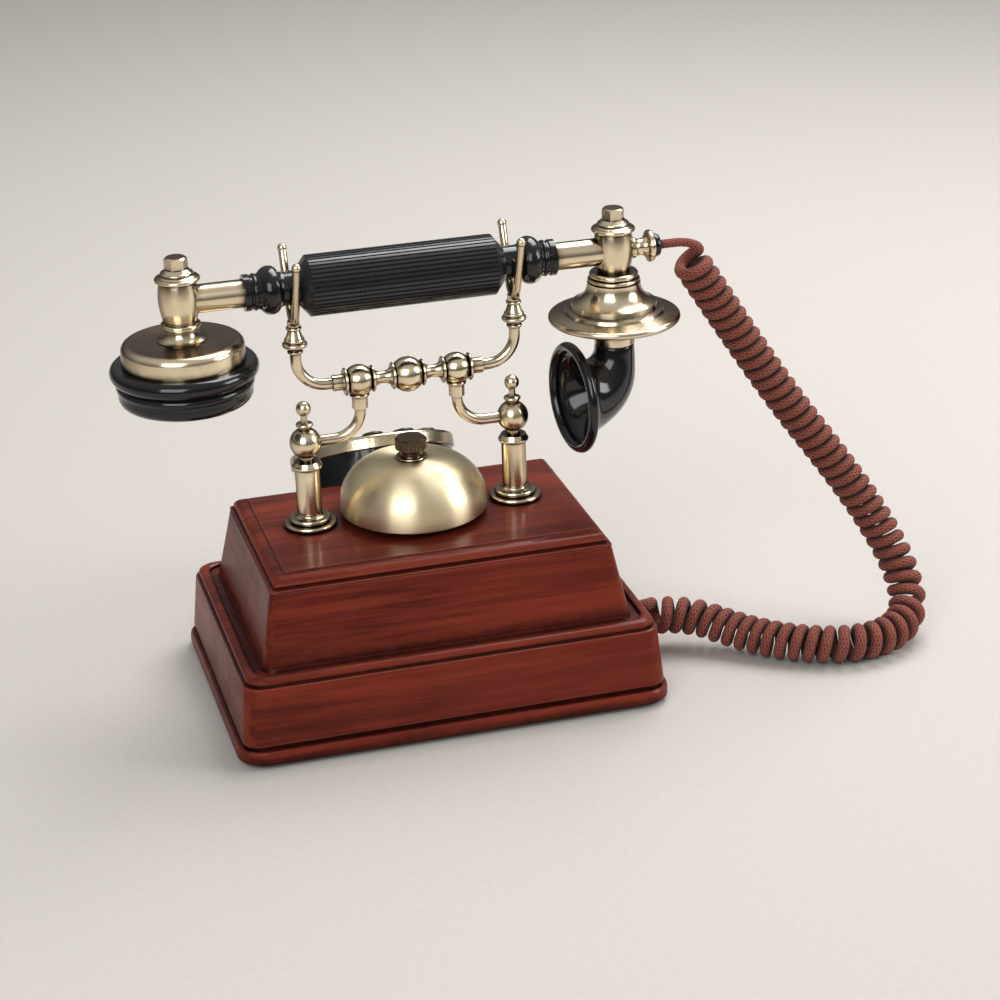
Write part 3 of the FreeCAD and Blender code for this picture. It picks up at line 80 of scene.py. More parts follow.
# Route of the cord in metres, as in the part, with its ends moved to follow the photograph
COIL_ROUTE = (
    (0.12690, 0.0040, 0.17740), (0.14180, 0.0040, 0.15360), (0.1564, 0.0015, 0.1300), (0.1720, -0.0035, 0.1055),
    (0.1895, -0.0085, 0.0810), (0.2055, -0.0150, 0.0565), (0.2180, -0.0245, 0.0310), (0.2185, -0.0385, 0.0128),
    (0.2045, -0.0520, 0.0090), (0.1820, -0.0565, 0.0090), (0.1600, -0.0470, 0.0090), (0.1410, -0.0310, 0.0096),
    (0.1185, -0.0120, 0.0156), (0.1020, -0.0120, 0.0156))
HANDSET_TAIL = (
    (0.11355, 0.0040, 0.1846), (0.11755, 0.0040, 0.1847), (0.12450, 0.0036, 0.1848), (0.13000, 0.0034, 0.1832))
BASE_TAIL = ((0.0972, -0.0120, 0.0215), (0.0952, -0.0120, 0.0215))


def colour_value(name, description, default):
    return FloatVectorProperty(
        name=name, description=description, subtype="COLOR", size=3, min=0, max=1, default=default)


def length_value(name, description, default):
    return FloatProperty(name=name, description=description, unit="LENGTH", default=default)


class TelephoneFinish(PropertyGroup):
    """Colours of the telephone."""

    wood: colour_value("Wood", "Mid colour of the lacquered wood", (0.165, 0.024, 0.012))
    wood_dark: colour_value("Wood grain", "Colour of the dark grain", (0.050, 0.007, 0.005))
    brass: colour_value("Brass", "Colour of the rubbed brass", (0.92, 0.78, 0.55))
    brass_dark: colour_value("Patina and painted shade", "Colour of the brass where it has darkened", (0.130, 0.075, 0.036))
    bell: colour_value("Bell", "Colour of the bell's bright brass", (1.0, 0.86, 0.57))
    bronze: colour_value("Bronze", "Colour of the bell's dark nut", (0.14, 0.10, 0.066))
    black: colour_value("Black", "Colour of the black fittings", (0.005, 0.005, 0.006))
    key_cap: colour_value("Keys", "Colour of the keys", (0.016, 0.015, 0.014))
    cord: colour_value("Cord", "Colour of the cord's cloth", (0.210, 0.048, 0.027))


class TelephoneCord(PropertyGroup):
    """Sizes of the curly cord."""

    curl_radius: length_value("Curl radius", "Middle of the cord to the middle of the coil", 0.0059)
    wire_radius: length_value("Cord radius", "Half the thickness of the curled cord", 0.00268)
    tail_radius: length_value("Tail radius", "Half the thickness of the straight tails", 0.00195)
    pitch: length_value("Pitch", "Distance from curl to curl on a straight stretch", 0.0057)
    spare: length_value("Gap", "Least room between curls", 0.00042)
    lead: length_value("Lead", "Length over which the coil opens from its tail", 0.003)
    points: IntProperty(name="Points", description="Points on each curl", min=12, max=32, default=14)


class TelephoneStage(PropertyGroup):
    """Floor, lamps and camera."""

    floor: colour_value("Floor", "Colour of the floor", (0.53, 0.50, 0.465))
    lamp: FloatProperty(name="Main lamp", description="Power of the large lamp", unit="POWER", default=20.0)
    fill: FloatProperty(name="Fill lamp", description="Power of the front lamp", unit="POWER", default=13.5)
    world: FloatProperty(name="Room", description="Strength of the light from all round", default=0.5)
    lens: FloatProperty(name="Lens", description="Focal length of the camera", unit="CAMERA", default=93.503)


# Small helpers
def clear_selection():
    bpy.ops.object.select_all(action="DESELECT")


def only(obj):
    clear_selection()
    obj.select_set(True)
    bpy.context.view_layer.objects.active = obj


def smooth(obj, angle=35):
    only(obj)
    bpy.ops.object.shade_smooth_by_angle(angle=math.radians(angle))


def settle(obj):
    """Puts the object's place into its mesh."""
    only(obj)
    bpy.ops.object.transform_apply(location=True, rotation=True, scale=True)


def finish_colours():
    return bpy.context.scene.telephone_finish


# Node helpers
def add(tree, kind, **values):
    node = tree.nodes.new(kind)
    for name, value in values.items():
        if name in node.inputs:
            node.inputs[name].default_value = value
        else:
            setattr(node, name, value)
    return node


def mixed(tree, factor, first, second):
    """Colour mix; each end is a colour or a socket."""
    node = add(tree, "ShaderNodeMix", data_type="RGBA")
    tree.links.new(factor, node.inputs["Factor"])
    for socket, value in ((node.inputs[6], first), (node.inputs[7], second)):
        if isinstance(value, bpy.types.NodeSocket):
            tree.links.new(value, socket)
        else:
            socket.default_value = (*value, 1)
    return node.outputs[2]


def ranged(tree, value, low, high, out_low=0.0, out_high=1.0):
    node = add(tree, "ShaderNodeMapRange")
    node.inputs["From Min"].default_value = low
    node.inputs["From Max"].default_value = high
    node.inputs["To Min"].default_value = out_low
    node.inputs["To Max"].default_value = out_high
    tree.links.new(value, node.inputs["Value"])
    return node.outputs["Result"]


def calc(tree, kind, first, second=None):
    node = add(tree, "ShaderNodeMath", operation=kind)
    for socket, value in zip(node.inputs, (first, second)):
        if isinstance(value, bpy.types.NodeSocket):
            tree.links.new(value, socket)
        elif value is not None:
            socket.default_value = value
    return node.outputs[0]


def object_place(tree, scale):
    place = add(tree, "ShaderNodeTexCoord")
    mapping = add(tree, "ShaderNodeMapping", Scale=scale)
    tree.links.new(place.outputs["Object"], mapping.inputs["Vector"])
    return mapping.outputs["Vector"]


def noise(tree, place, scale, detail=4.0, rough=0.55):
    node = add(tree, "ShaderNodeTexNoise", Scale=scale, Detail=detail, Roughness=rough)
    tree.links.new(place, node.inputs["Vector"])
    return node.outputs["Fac"]


def bumped(tree, shader, height, strength, distance):
    bump = add(tree, "ShaderNodeBump", Strength=strength, Distance=distance)
    tree.links.new(height, bump.inputs["Height"])
    tree.links.new(bump.outputs["Normal"], shader.inputs["Normal"])


def new_finish(name, **values):
    """Empty material with its Principled shader."""
    material = bpy.data.materials.new(name)
    material.use_nodes = True
    shader = material.node_tree.nodes["Principled BSDF"]
    for key, value in values.items():
        shader.inputs[key.replace("_", " ")].default_value = value
    return material, material.node_tree, shader


def handling_group():
    """Shared effect: faint smudges and fine dust that vary the gloss."""
    if "Handling" in bpy.data.node_groups:
        return bpy.data.node_groups["Handling"]
    group = bpy.data.node_groups.new("Handling", "ShaderNodeTree")
    for label, value in (("Size", 60.0), ("Smooth", 0.15), ("Rough", 0.3)):
        socket = group.interface.new_socket(label, in_out="INPUT", socket_type="NodeSocketFloat")
        socket.default_value = value
    group.interface.new_socket("Roughness", in_out="OUTPUT", socket_type="NodeSocketFloat")
    group.interface.new_socket("Mask", in_out="OUTPUT", socket_type="NodeSocketFloat")
    start = group.nodes.new("NodeGroupInput")
    end = group.nodes.new("NodeGroupOutput")
    place = add(group, "ShaderNodeTexCoord")
    cloud = add(group, "ShaderNodeTexNoise", Detail=6.0, Roughness=0.65)
    group.links.new(place.outputs["Object"], cloud.inputs["Vector"])
    group.links.new(start.outputs["Size"], cloud.inputs["Scale"])
    mask = ranged(group, cloud.outputs["Fac"], 0.35, 0.7)
    spread = add(group, "ShaderNodeMapRange")
    group.links.new(mask, spread.inputs["Value"])
    group.links.new(start.outputs["Smooth"], spread.inputs["To Min"])
    group.links.new(start.outputs["Rough"], spread.inputs["To Max"])
    group.links.new(spread.outputs["Result"], end.inputs["Roughness"])
    group.links.new(mask, end.inputs["Mask"])
    return group


def patina_group():
    """Shared effect: darkening in grooves and hollows from ambient occlusion; old patina on brass, painted shade on the
    wood, grip and cord.
    """
    if "Patina and painted shade" in bpy.data.node_groups:
        return bpy.data.node_groups["Patina and painted shade"]
    group = bpy.data.node_groups.new("Patina and painted shade", "ShaderNodeTree")
    for label, value in (("Reach", 0.003), ("Depth", 1.0)):
        socket = group.interface.new_socket(label, in_out="INPUT", socket_type="NodeSocketFloat")
        socket.default_value = value
    group.interface.new_socket("Mask", in_out="OUTPUT", socket_type="NodeSocketFloat")
    start = group.nodes.new("NodeGroupInput")
    end = group.nodes.new("NodeGroupOutput")
    hollow = add(group, "ShaderNodeAmbientOcclusion", samples=6)
    group.links.new(start.outputs["Reach"], hollow.inputs["Distance"])
    place = object_place(group, (1, 1, 1))
    uneven = ranged(group, noise(group, place, 160.0, 4.0, 0.65), 0.3, 0.75, 0.0, 0.16)
    closed = calc(group, "SUBTRACT", calc(group, "ADD", 1.0, uneven), hollow.outputs["AO"])
    mask = ranged(group, closed, 0.12, 0.5)
    group.links.new(calc(group, "MULTIPLY", mask, start.outputs["Depth"]), end.inputs["Mask"])
    return group


# Mask of the grooves and hollows: patina on brass, painted shade on the other finishes
def aged(tree, reach, depth):
    node = add(tree, "ShaderNodeGroup")
    node.node_tree = patina_group()
    node.inputs["Reach"].default_value = reach
    node.inputs["Depth"].default_value = depth
    return node.outputs["Mask"]


def handled(tree, size, smooth_value, rough_value):
    node = add(tree, "ShaderNodeGroup")
    node.node_tree = handling_group()
    node.inputs["Size"].default_value = size
    node.inputs["Smooth"].default_value = smooth_value
    node.inputs["Rough"].default_value = rough_value
    return node


# Finishes
ALONG_GRAIN = 2.2
ACROSS_GRAIN = 40.0
# Reach of the lighter band on convex edges: rubbed wear together with a painted highlight
RUBBED_AND_HIGHLIT_EDGE = 0.0008


def wood_finish():
    """Red-brown lacquered wood: the grain runs along each face; convex edges are lighter, partly as rubbed wear and
    partly as a painted highlight, and painted shade darkens the grooves.
    """
    colours = finish_colours()
    material, tree, shader = new_finish("Lacquered wood", Specular_IOR_Level=0.1, Coat_Roughness=0.1)
    facing = add(tree, "ShaderNodeNewGeometry")
    split = add(tree, "ShaderNodeSeparateXYZ")
    tree.links.new(facing.outputs["Normal"], split.inputs[0])
    end_face = ranged(tree, calc(tree, "ABSOLUTE", split.outputs["X"]), 0.6, 0.75)
    polish = ranged(tree, split.outputs["Z"], 0.3, 0.9, 0.03, 0.16)
    tree.links.new(polish, shader.inputs["Coat Weight"])
    grains = []
    for scale in ((ALONG_GRAIN, ACROSS_GRAIN, ACROSS_GRAIN), (ACROSS_GRAIN, ALONG_GRAIN, ACROSS_GRAIN)):
        place = object_place(tree, scale)
        wide = noise(tree, place, 1.6, 5.0, 0.6)
        fine = noise(tree, object_place(tree, tuple(v * 6 for v in scale)), 1.4, 3.0, 0.7)
        grains.append(calc(tree, "ADD", calc(tree, "MULTIPLY", wide, 0.5), calc(tree, "MULTIPLY", fine, 0.5)))
    grain = add(tree, "ShaderNodeMix", data_type="FLOAT")
    tree.links.new(end_face, grain.inputs["Factor"])
    tree.links.new(grains[0], grain.inputs[2])
    tree.links.new(grains[1], grain.inputs[3])
    streak = ranged(tree, grain.outputs[0], 0.42, 0.58)
    colour = mixed(tree, streak, colours.wood_dark, colours.wood)
    patch = ranged(tree, noise(tree, object_place(tree, (1, 1, 1)), 9.0, 2.0), 0.3, 0.75)
    warm = tuple(min(1.0, c * 1.45) for c in colours.wood)
    colour = mixed(tree, calc(tree, "MULTIPLY", patch, 0.5), colour, warm)
    # Convex edges are lighter: rubbed wear together with a painted highlight along each edge
    edge = add(tree, "ShaderNodeBevel", samples=4, Radius=RUBBED_AND_HIGHLIT_EDGE)
    turned = add(tree, "ShaderNodeVectorMath", operation="DOT_PRODUCT")
    tree.links.new(edge.outputs["Normal"], turned.inputs[0])
    tree.links.new(facing.outputs["Normal"], turned.inputs[1])
    rubbed = ranged(tree, turned.outputs["Value"], 0.985, 0.87, 0.0, 0.7)
    colour = mixed(tree, rubbed, colour, tuple(min(1.0, c * 1.5 + 0.06) for c in colours.wood))
    # Painted shade: grooves, joints and hollows are darkened through the ambient occlusion mask
    painted_groove_shade = tuple(c * 0.16 for c in colours.wood_dark)
    colour = mixed(tree, aged(tree, 0.009, 0.95), colour, painted_groove_shade)
    tree.links.new(colour, shader.inputs["Base Color"])
    wear = handled(tree, 45.0, 0.28, 0.42)
    tree.links.new(wear.outputs["Roughness"], shader.inputs["Roughness"])
    bumped(tree, shader, grain.outputs[0], 0.06, 0.0004)
    return material


def brass_finish(
        name="Antique brass", axis=None, bright=None, brushed=0.6, painted_dark_rim=0.9, gloss=(0.15, 0.3), dulled=0.3):
    """Antique brass: rubbed bright, with dark patina in the grooves and in patches, and a painted dark reflection on
    the sides that turn away from the view.
    """
    colours = finish_colours()
    material, tree, shader = new_finish(name, Metallic=1.0)
    wear = handled(tree, 55.0, *gloss)
    stretch = {"X": (16, 1, 1), "Z": (1, 1, 16)}.get(axis, (3, 3, 3))
    fine = noise(tree, object_place(tree, stretch), 240.0, 3.0, 0.7)
    tone = calc(tree, "ADD", calc(tree, "MULTIPLY", wear.outputs["Mask"], 0.4), calc(tree, "MULTIPLY", fine, 0.45))
    rubbed = bright or colours.brass
    dull = tuple(a * (1 - dulled) + b * dulled for a, b in zip(rubbed, colours.brass_dark))
    colour = mixed(tree, ranged(tree, tone, 0.15, 0.9), rubbed, dull)
    # Painted dark reflection: sides seen at a glancing angle are darkened toward the patina colour
    turned_away = add(tree, "ShaderNodeLayerWeight", Blend=0.5)
    side = ranged(tree, turned_away.outputs["Facing"], 0.3, 0.68, 0.0, painted_dark_rim)
    colour = mixed(tree, side, colour, colours.brass_dark)
    colour = mixed(tree, aged(tree, 0.0036, 0.95), colour, tuple(c * 0.25 for c in colours.brass_dark))
    tree.links.new(colour, shader.inputs["Base Color"])
    tree.links.new(wear.outputs["Roughness"], shader.inputs["Roughness"])
    bumped(tree, shader, fine, 0.06, 0.0002)
    if axis:
        shader.inputs["Anisotropic"].default_value = brushed
        shader.inputs["Anisotropic Rotation"].default_value = 0.25
        grain = add(tree, "ShaderNodeTangent", direction_type="RADIAL", axis=axis)
        tree.links.new(grain.outputs["Tangent"], shader.inputs["Tangent"])
    return material


def black_finish():
    """Glossy black with faint smudges."""
    colours = finish_colours()
    material, tree, shader = new_finish("Polished black", Specular_IOR_Level=0.34, Coat_Weight=0.3, Coat_Roughness=0.06)
    wear = handled(tree, 90.0, 0.1, 0.22)
    colour = mixed(tree, wear.outputs["Mask"], colours.black, tuple(c * 1.8 for c in colours.black))
    tree.links.new(colour, shader.inputs["Base Color"])
    tree.links.new(wear.outputs["Roughness"], shader.inputs["Roughness"])
    return material


def grip_finish():
    """Turned black grip: a painted highlight lightens the crests of the flutes and painted shade darkens the flutes."""
    colours = finish_colours()
    material, tree, shader = new_finish("Fluted black", Specular_IOR_Level=0.5)
    wear = handled(tree, 70.0, 0.2, 0.32)
    # Painted highlight: the crests are lighter than the black, varied by smudges
    painted_crest_highlight = tuple(c * 3.5 for c in colours.black)
    rubbed = mixed(tree, wear.outputs["Mask"], painted_crest_highlight, tuple(c * 0.7 for c in painted_crest_highlight))
    # Painted shade: the flutes are darkened through the ambient occlusion mask
    colour = mixed(tree, aged(tree, 0.0016, 1.0), rubbed, tuple(c * 0.3 for c in colours.black))
    tree.links.new(colour, shader.inputs["Base Color"])
    tree.links.new(wear.outputs["Roughness"], shader.inputs["Roughness"])
    return material


def plain_finish(name, first, second, metallic, smooth_value, rough_value, size=120.0, bump=0.0):
    """Two close tones with a varied gloss."""
    material, tree, shader = new_finish(name, Metallic=metallic)
    wear = handled(tree, size, smooth_value, rough_value)
    tree.links.new(mixed(tree, wear.outputs["Mask"], first, second), shader.inputs["Base Color"])
    tree.links.new(wear.outputs["Roughness"], shader.inputs["Roughness"])
    if bump:
        bumped(tree, shader, noise(tree, object_place(tree, (1, 1, 1)), 900.0, 3.0), bump, 0.0003)
    return material


STRAND_PITCH = 0.0028
STRANDS = 11


def braid_map(cord, path, around):
    """Gives the cord a map of turns round it and metres along it."""
    reach = [0.0]
    for first, second in zip(path, path[1:]):
        reach.append(reach[-1] + (second - first).length)
    layer = cord.data.uv_layers.new(name="Braid")
    for face in cord.data.polygons:
        corners = [cord.data.loops[n].vertex_index for n in face.loop_indices]
        wraps = max(c % around for c in corners) - min(c % around for c in corners) > around / 2
        for loop, corner in zip(face.loop_indices, corners):
            turn = corner % around
            turn += around if wraps and turn < around / 2 else 0
            layer.data[loop].uv = (turn / around, reach[min(corner // around, len(reach) - 1)])


def cord_finish():
    """Cloth braid: two sets of crossing strands that wind round the cord, with loose fibres."""
    colours = finish_colours()
    material, tree, shader = new_finish("Braided cloth", Roughness=0.8, Sheen_Weight=0.05, Sheen_Roughness=0.5)
    place = add(tree, "ShaderNodeUVMap", uv_map="Braid")
    split = add(tree, "ShaderNodeSeparateXYZ")
    tree.links.new(place.outputs["UV"], split.inputs[0])
    along = calc(tree, "MULTIPLY", split.outputs["Y"], 1 / STRAND_PITCH)
    around = calc(tree, "MULTIPLY", split.outputs["X"], STRANDS)
    strands = []
    for kind in ("ADD", "SUBTRACT"):
        turn = calc(tree, "MULTIPLY", calc(tree, kind, along, around), 2 * math.pi)
        strands.append(calc(tree, "SINE", turn))
    weave = calc(tree, "MAXIMUM", strands[0], strands[1])
    fibre = noise(tree, object_place(tree, (1, 1, 1)), 1100.0, 3.0, 0.75)
    height = calc(tree, "ADD", ranged(tree, weave, -0.6, 1, 0, 0.45), calc(tree, "MULTIPLY", fibre, 0.75))
    # The weave's low gaps are painted darker as shade and its raised strands lighter as painted highlight, with a
    # random fibre tone
    tone = ranged(tree, height, 0.35, 0.9)
    dark = tuple(c * 0.2 for c in colours.cord)
    light = tuple(min(1.0, c * 1.5) for c in colours.cord)
    colour = mixed(tree, tone, dark, light)
    # Painted shade: the cord is darkened where its curls lie close together
    colour = mixed(tree, aged(tree, 0.004, 0.85), colour, tuple(c * 0.12 for c in colours.cord))
    tree.links.new(colour, shader.inputs["Base Color"])
    bumped(tree, shader, height, 0.8, 0.0006)
    return material


def dressed(nodes, material):
    """Paints CAD nodes."""
    for name in nodes:
        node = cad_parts[name]
        node.data.materials.clear()
        node.data.materials.append(material)
        smooth(node)


# Cord: points of the guide, neighbours that give a bend, spacing of the helix's points in metres, base end's lead
GUIDE_STEPS = 3000
BEND_REACH = 12
LAST_GAP = 0.0012
LONGEST_STEP = 0.0022
BASE_LEAD = 1.5
CORD_SIDES = 4


def route_curve(name, points):
    """Smooth curve with the route's points as its control points."""
    curve = bpy.data.curves.new(name, "CURVE")
    curve.dimensions = "3D"
    curve.resolution_u = 24
    spline = curve.splines.new("NURBS")
    spline.points.add(len(points) - 1)
    for place, point in zip(spline.points, points):
        place.co = (*point, 1)
    spline.order_u = 3
    spline.use_endpoint_u = True
    obj = bpy.data.objects.new(name, curve)
    bpy.context.collection.objects.link(obj)
    return obj


def line_of(obj):
    """Points along a curve with no bevel."""
    bpy.context.view_layer.update()
    mesh = bpy.data.meshes.new_from_object(obj.evaluated_get(bpy.context.evaluated_depsgraph_get()))
    points = [v.co.copy() for v in mesh.vertices]
    bpy.data.meshes.remove(mesh)
    return points


def even_line(points, count):
    """The same line with evenly spaced points."""
    reach = [0.0]
    for first, second in zip(points, points[1:]):
        reach.append(reach[-1] + (second - first).length)
    spaced = []
    part = 0
    for number in range(count + 1):
        want = reach[-1] * number / count
        while part < len(points) - 2 and reach[part + 1] < want:
            part += 1
        share = (want - reach[part]) / max(reach[part + 1] - reach[part], 1e-9)
        spaced.append(points[part].lerp(points[part + 1], min(max(share, 0.0), 1.0)))
    return spaced, reach[-1]


def curl_points(line, length):
    """Left-handed helix round the line, which opens and closes over the leads at its ends."""
    sizes = bpy.context.scene.telephone_cord
    count = len(line) - 1
    step = length / count
    ways = [(line[min(n + 1, count)] - line[max(n - 1, 0)]).normalized() for n in range(count + 1)]
    side = Vector((0, -1, 0)).cross(ways[0]).normalized()
    rows = []
    turn = 0.0
    for number in range(count + 1):
        way = ways[number]
        side = (side - way * side.dot(way)).normalized()
        near = max(number - BEND_REACH, 0)
        far = min(number + BEND_REACH, count)
        bend = ways[near].angle(ways[far]) / max((far - near) * step, 1e-9)
        pitch = max(sizes.pitch, (2 * sizes.wire_radius + sizes.spare) / (1 - bend * sizes.curl_radius))
        reach = number * step
        ramp = min(1.0, reach / sizes.lead, (length - reach) / (BASE_LEAD * sizes.lead))
        turn += ramp * ramp * (3 - 2 * ramp) * step / pitch
        rows.append((line[number], way, side, turn))
    point, way, side, turn = rows[-1]
    up = Vector((0, 0, 1))
    last = (-math.atan2(way.cross(side).dot(up), side.dot(up)) / (2 * math.pi)) % 1
    factor = (round(turn - last) + last) / turn
    radius = sizes.curl_radius / math.cos(math.pi / sizes.points)
    points = []
    waited = 1.0
    before = 0.0
    for number, (point, way, side, turn) in enumerate(rows):
        waited += (turn - before) * factor * sizes.points
        before = turn
        gone = (point - points[-1][1]).length if points else 1.0
        left = length - number * step
        if number == count or left > LAST_GAP and (waited >= 1.0 or gone > LONGEST_STEP):
            angle = -2 * math.pi * turn * factor
            spot = point + (side * math.cos(angle) + way.cross(side) * math.sin(angle)) * radius
            points.append((spot, point))
            waited = 0.0
    return [spot for spot, point in points]


class TELEPHONE_OT_curly_cord(Operator):
    """Braided curly cord from the handset to the base"""

    bl_idname = "telephone.curly_cord"
    bl_label = "Curly cord"

    def execute(self, context):
        sizes = context.scene.telephone_cord
        guide = route_curve("coil_guide", COIL_ROUTE)
        line, length = even_line(line_of(guide), GUIDE_STEPS)
        bpy.data.objects.remove(guide)
        coil = curl_points(line, length)
        end = coil[-1] + (line[-1] - line[-2]).normalized() * sizes.wire_radius
        points = [Vector(p) for p in HANDSET_TAIL] + coil + [end] + [Vector(p) for p in BASE_TAIL]
        cord = route_curve("curly_cord_cloth", points)
        cord.data.resolution_u = 3
        cord.data.bevel_depth = sizes.wire_radius
        cord.data.bevel_resolution = CORD_SIDES
        cord.data.use_fill_caps = True
        thin = sizes.tail_radius / sizes.wire_radius
        spline = cord.data.splines[0]
        for number in range(len(HANDSET_TAIL)):
            spline.points[number].radius = thin
        for number in range(len(BASE_TAIL)):
            spline.points[-1 - number].radius = thin
        bare = cord.data.copy()
        bare.bevel_depth = 0
        bare.use_fill_caps = False
        track = bpy.data.objects.new("cord_track", bare)
        context.collection.objects.link(track)
        path = line_of(track)
        bpy.data.objects.remove(track)
        only(cord)
        bpy.ops.object.convert(target="MESH")
        cord = context.object
        smooth(cord, 60)
        cord.data.materials.clear()
        braid_map(cord, path, 2 * CORD_SIDES + 4)
        cord.data.materials.append(cord_finish())
        path.reverse()
        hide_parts("curly_cord", "handset_cord_tail", "base_cord_tail")
        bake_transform(cord)
        return {"FINISHED"}


# Turned pieces
def arc_run(first, middle, last, count):
    """Points from the first to the last on the circle through all three, the first left out."""
    (ax, ay), (bx, by), (cx, cy) = first, middle, last
    d = 2 * (ax * (by - cy) + bx * (cy - ay) + cx * (ay - by))
    a, b, c = ax * ax + ay * ay, bx * bx + by * by, cx * cx + cy * cy
    x = (a * (by - cy) + b * (cy - ay) + c * (ay - by)) / d
    y = (a * (cx - bx) + b * (ax - cx) + c * (bx - ax)) / d
    radius = math.hypot(ax - x, ay - y)
    start = math.atan2(ay - y, ax - x)
    sweep = (math.atan2(cy - y, cx - x) - start + math.pi) % (2 * math.pi) - math.pi
    return [
        (x + radius * math.cos(start + sweep * n / count), y + radius * math.sin(start + sweep * n / count))
        for n in range(1, count + 1)]


def outline_points(outline, count=10):
    """Corner points of an outline; a row of four is an arc's middle and end."""
    points = [outline[0]]
    for row in outline[1:]:
        points += arc_run(points[-1], row[:2], row[2:], count) if len(row) == 4 else [row]
    return points


def lathe(name, outline, place, steps=96, closed=True):
    """Spins an outline of radius and height in millimetres round an upright line, then puts it in its place."""
    points = [Vector((r / 1000, 0, z / 1000)) for r, z in outline_points(outline)]
    clear_selection()
    bpy.ops.mesh.primitive_plane_add(size=0.001)
    piece = bpy.context.object
    piece.name = name
    bpy.ops.object.mode_set(mode="EDIT")
    bpy.ops.mesh.select_all(action="SELECT")
    bpy.ops.mesh.merge(type="CENTER")
    bpy.ops.transform.translate(value=points[0])
    for first, second in zip(points, points[1:]):
        bpy.ops.mesh.extrude_region_move(TRANSFORM_OT_translate={"value": second - first})
    bpy.ops.mesh.select_all(action="SELECT")
    if closed:
        bpy.ops.mesh.edge_face_add()
        bpy.ops.mesh.delete(type="ONLY_FACE")
        bpy.ops.mesh.select_all(action="SELECT")
    bpy.ops.mesh.spin(steps=steps, angle=2 * math.pi, center=(0, 0, 0), axis=(0, 0, 1))
    bpy.ops.mesh.select_all(action="SELECT")
    bpy.ops.mesh.remove_doubles(threshold=0.000002)
    bpy.ops.mesh.normals_make_consistent(inside=False)
    bpy.ops.object.mode_set(mode="OBJECT")
    piece.matrix_world = place
    settle(piece)
    smooth(piece, 32)
    return piece


def put_on(piece, material, node, body):
    """Gives a new piece its finish, and puts it on a body in place of a node."""
    piece.data.materials.append(bpy.data.materials[material])
    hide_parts(node)
    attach(piece, body)


# Bell: its outline in millimetres and its place in metres
GONG_PLACE = Matrix.Translation((0, 0.004, 0))
GONG_OUTLINE = (
    (32.15, 79.4), (31.45, 87.5), (24.12, 97.70, 12.2, 101.6), (2.7, 101.6), (2.7, 100.1), (12.2, 100.1),
    (23.2, 96.60, 29.95, 87.5), (30.65, 79.4), (31.4, 78.8, 32.15, 79.4))


class TELEPHONE_OT_gong(Operator):
    """Spun brass bell"""

    bl_idname = "telephone.gong"
    bl_label = "Bell"

    def execute(self, context):
        finish = brass_finish("Bright spun brass", "Z", finish_colours().bell, 0.85, 0.4, (0.36, 0.46), 0.14)
        gong = lathe("spun_gong", GONG_OUTLINE, GONG_PLACE, 128)
        put_on(gong, finish.name, "gong", "base")
        return {"FINISHED"}


# Mouldings of the wooden base: half length along X and height of each step, in millimetres
DEPTH_CUT = 26.0
TOP_STEPS = (
    (74.2, 70.25), (74.2, 70.9), (73.9, 71.2), (72.7, 71.3), (72.3, 71.4), (72.3, 71.8), (72.6, 72.3), (72.65, 72.9),
    (72.2, 73.8), (71.5, 74.6), (70.6, 75.2), (69.6, 75.6), (68.4, 75.75), (67.4, 75.65), (67.1, 75.75), (66.9, 76.35),
    (66.7, 76.5))
PLINTH_STEPS = (
    (93.9, 2.0), (94.7, 2.4), (95.0, 3.1), (95.0, 6.2), (94.8, 7.3), (94.2, 8.1), (93.3, 8.4))
CASE_STEPS = (
    (91.6, 6.8), (91.6, 9.9), (92.3, 9.9), (92.75, 10.3), (92.75, 10.9), (90.45, 34.7), (90.25, 35.2), (89.8, 35.4),
    (88.6, 35.5), (88.4, 35.7), (88.4, 36.1), (88.95, 36.6), (89.1, 37.2), (88.95, 37.9), (88.5, 38.5), (87.8, 39.0),
    (86.9, 39.3), (86.0, 39.4), (85.3, 39.2), (84.8, 38.7), (84.6, 37.7), (81.4, 37.7), (80.9, 39.2))
CAVITY_STEPS = ((84.0, -1.0), (84.0, 33.0))
PLINTH_CORNER = 12.0
WALL_CORNER = 7.5
CAVITY_CORNER = 3.0
BOARD_CORNER = 1.2

# Holes through the wood, in metres
DIAL_HOLE = 0.0377
DIAL_HOLE_DEPTH = 0.12
BOOT_HOLE = 0.0068
BOOT_HOLE_MIDDLE = 0.097
BOOT_HOLE_DEPTH = 0.012
JACK_SLIP = 0.00005
JACK_HOLE_MIDDLE = 0.09
JACK_HOLE_DEPTH = 0.02


def stepped_slab(name, steps, corner, rounds):
    """Flat rectangle with round corners, drawn up through the steps of a moulding."""
    half, height = steps[0]
    clear_selection()
    bpy.ops.mesh.primitive_plane_add(size=2.0)
    slab = bpy.context.object
    slab.name = name
    slab.scale = (half / 1000, (half - DEPTH_CUT) / 1000, 1)
    slab.location.z = height / 1000
    settle(slab)
    bpy.ops.object.mode_set(mode="EDIT")
    bpy.ops.mesh.select_all(action="SELECT")
    bpy.ops.mesh.bevel(offset=corner / 1000, segments=rounds, affect="VERTICES")
    for before, after in zip(steps, steps[1:]):
        bpy.ops.mesh.extrude_region_move(TRANSFORM_OT_translate={"value": (0, 0, (after[1] - before[1]) / 1000)})
        wide = (after[0] / before[0], (after[0] - DEPTH_CUT) / (before[0] - DEPTH_CUT), 1)
        bpy.ops.transform.resize(value=wide, center_override=(0, 0, after[1] / 1000))
    bpy.ops.mesh.select_all(action="SELECT")
    bpy.ops.mesh.normals_make_consistent(inside=False)
    bpy.ops.object.mode_set(mode="OBJECT")
    return slab


def combine(piece, other, operation="DIFFERENCE"):
    """Cuts one closed piece out of another, or joins them, and drops the second."""
    step = piece.modifiers.new("Combine", "BOOLEAN")
    step.operation = operation
    step.solver = "EXACT"
    step.object = other
    only(piece)
    bpy.ops.object.modifier_apply(modifier="Combine")
    bpy.data.objects.remove(other)


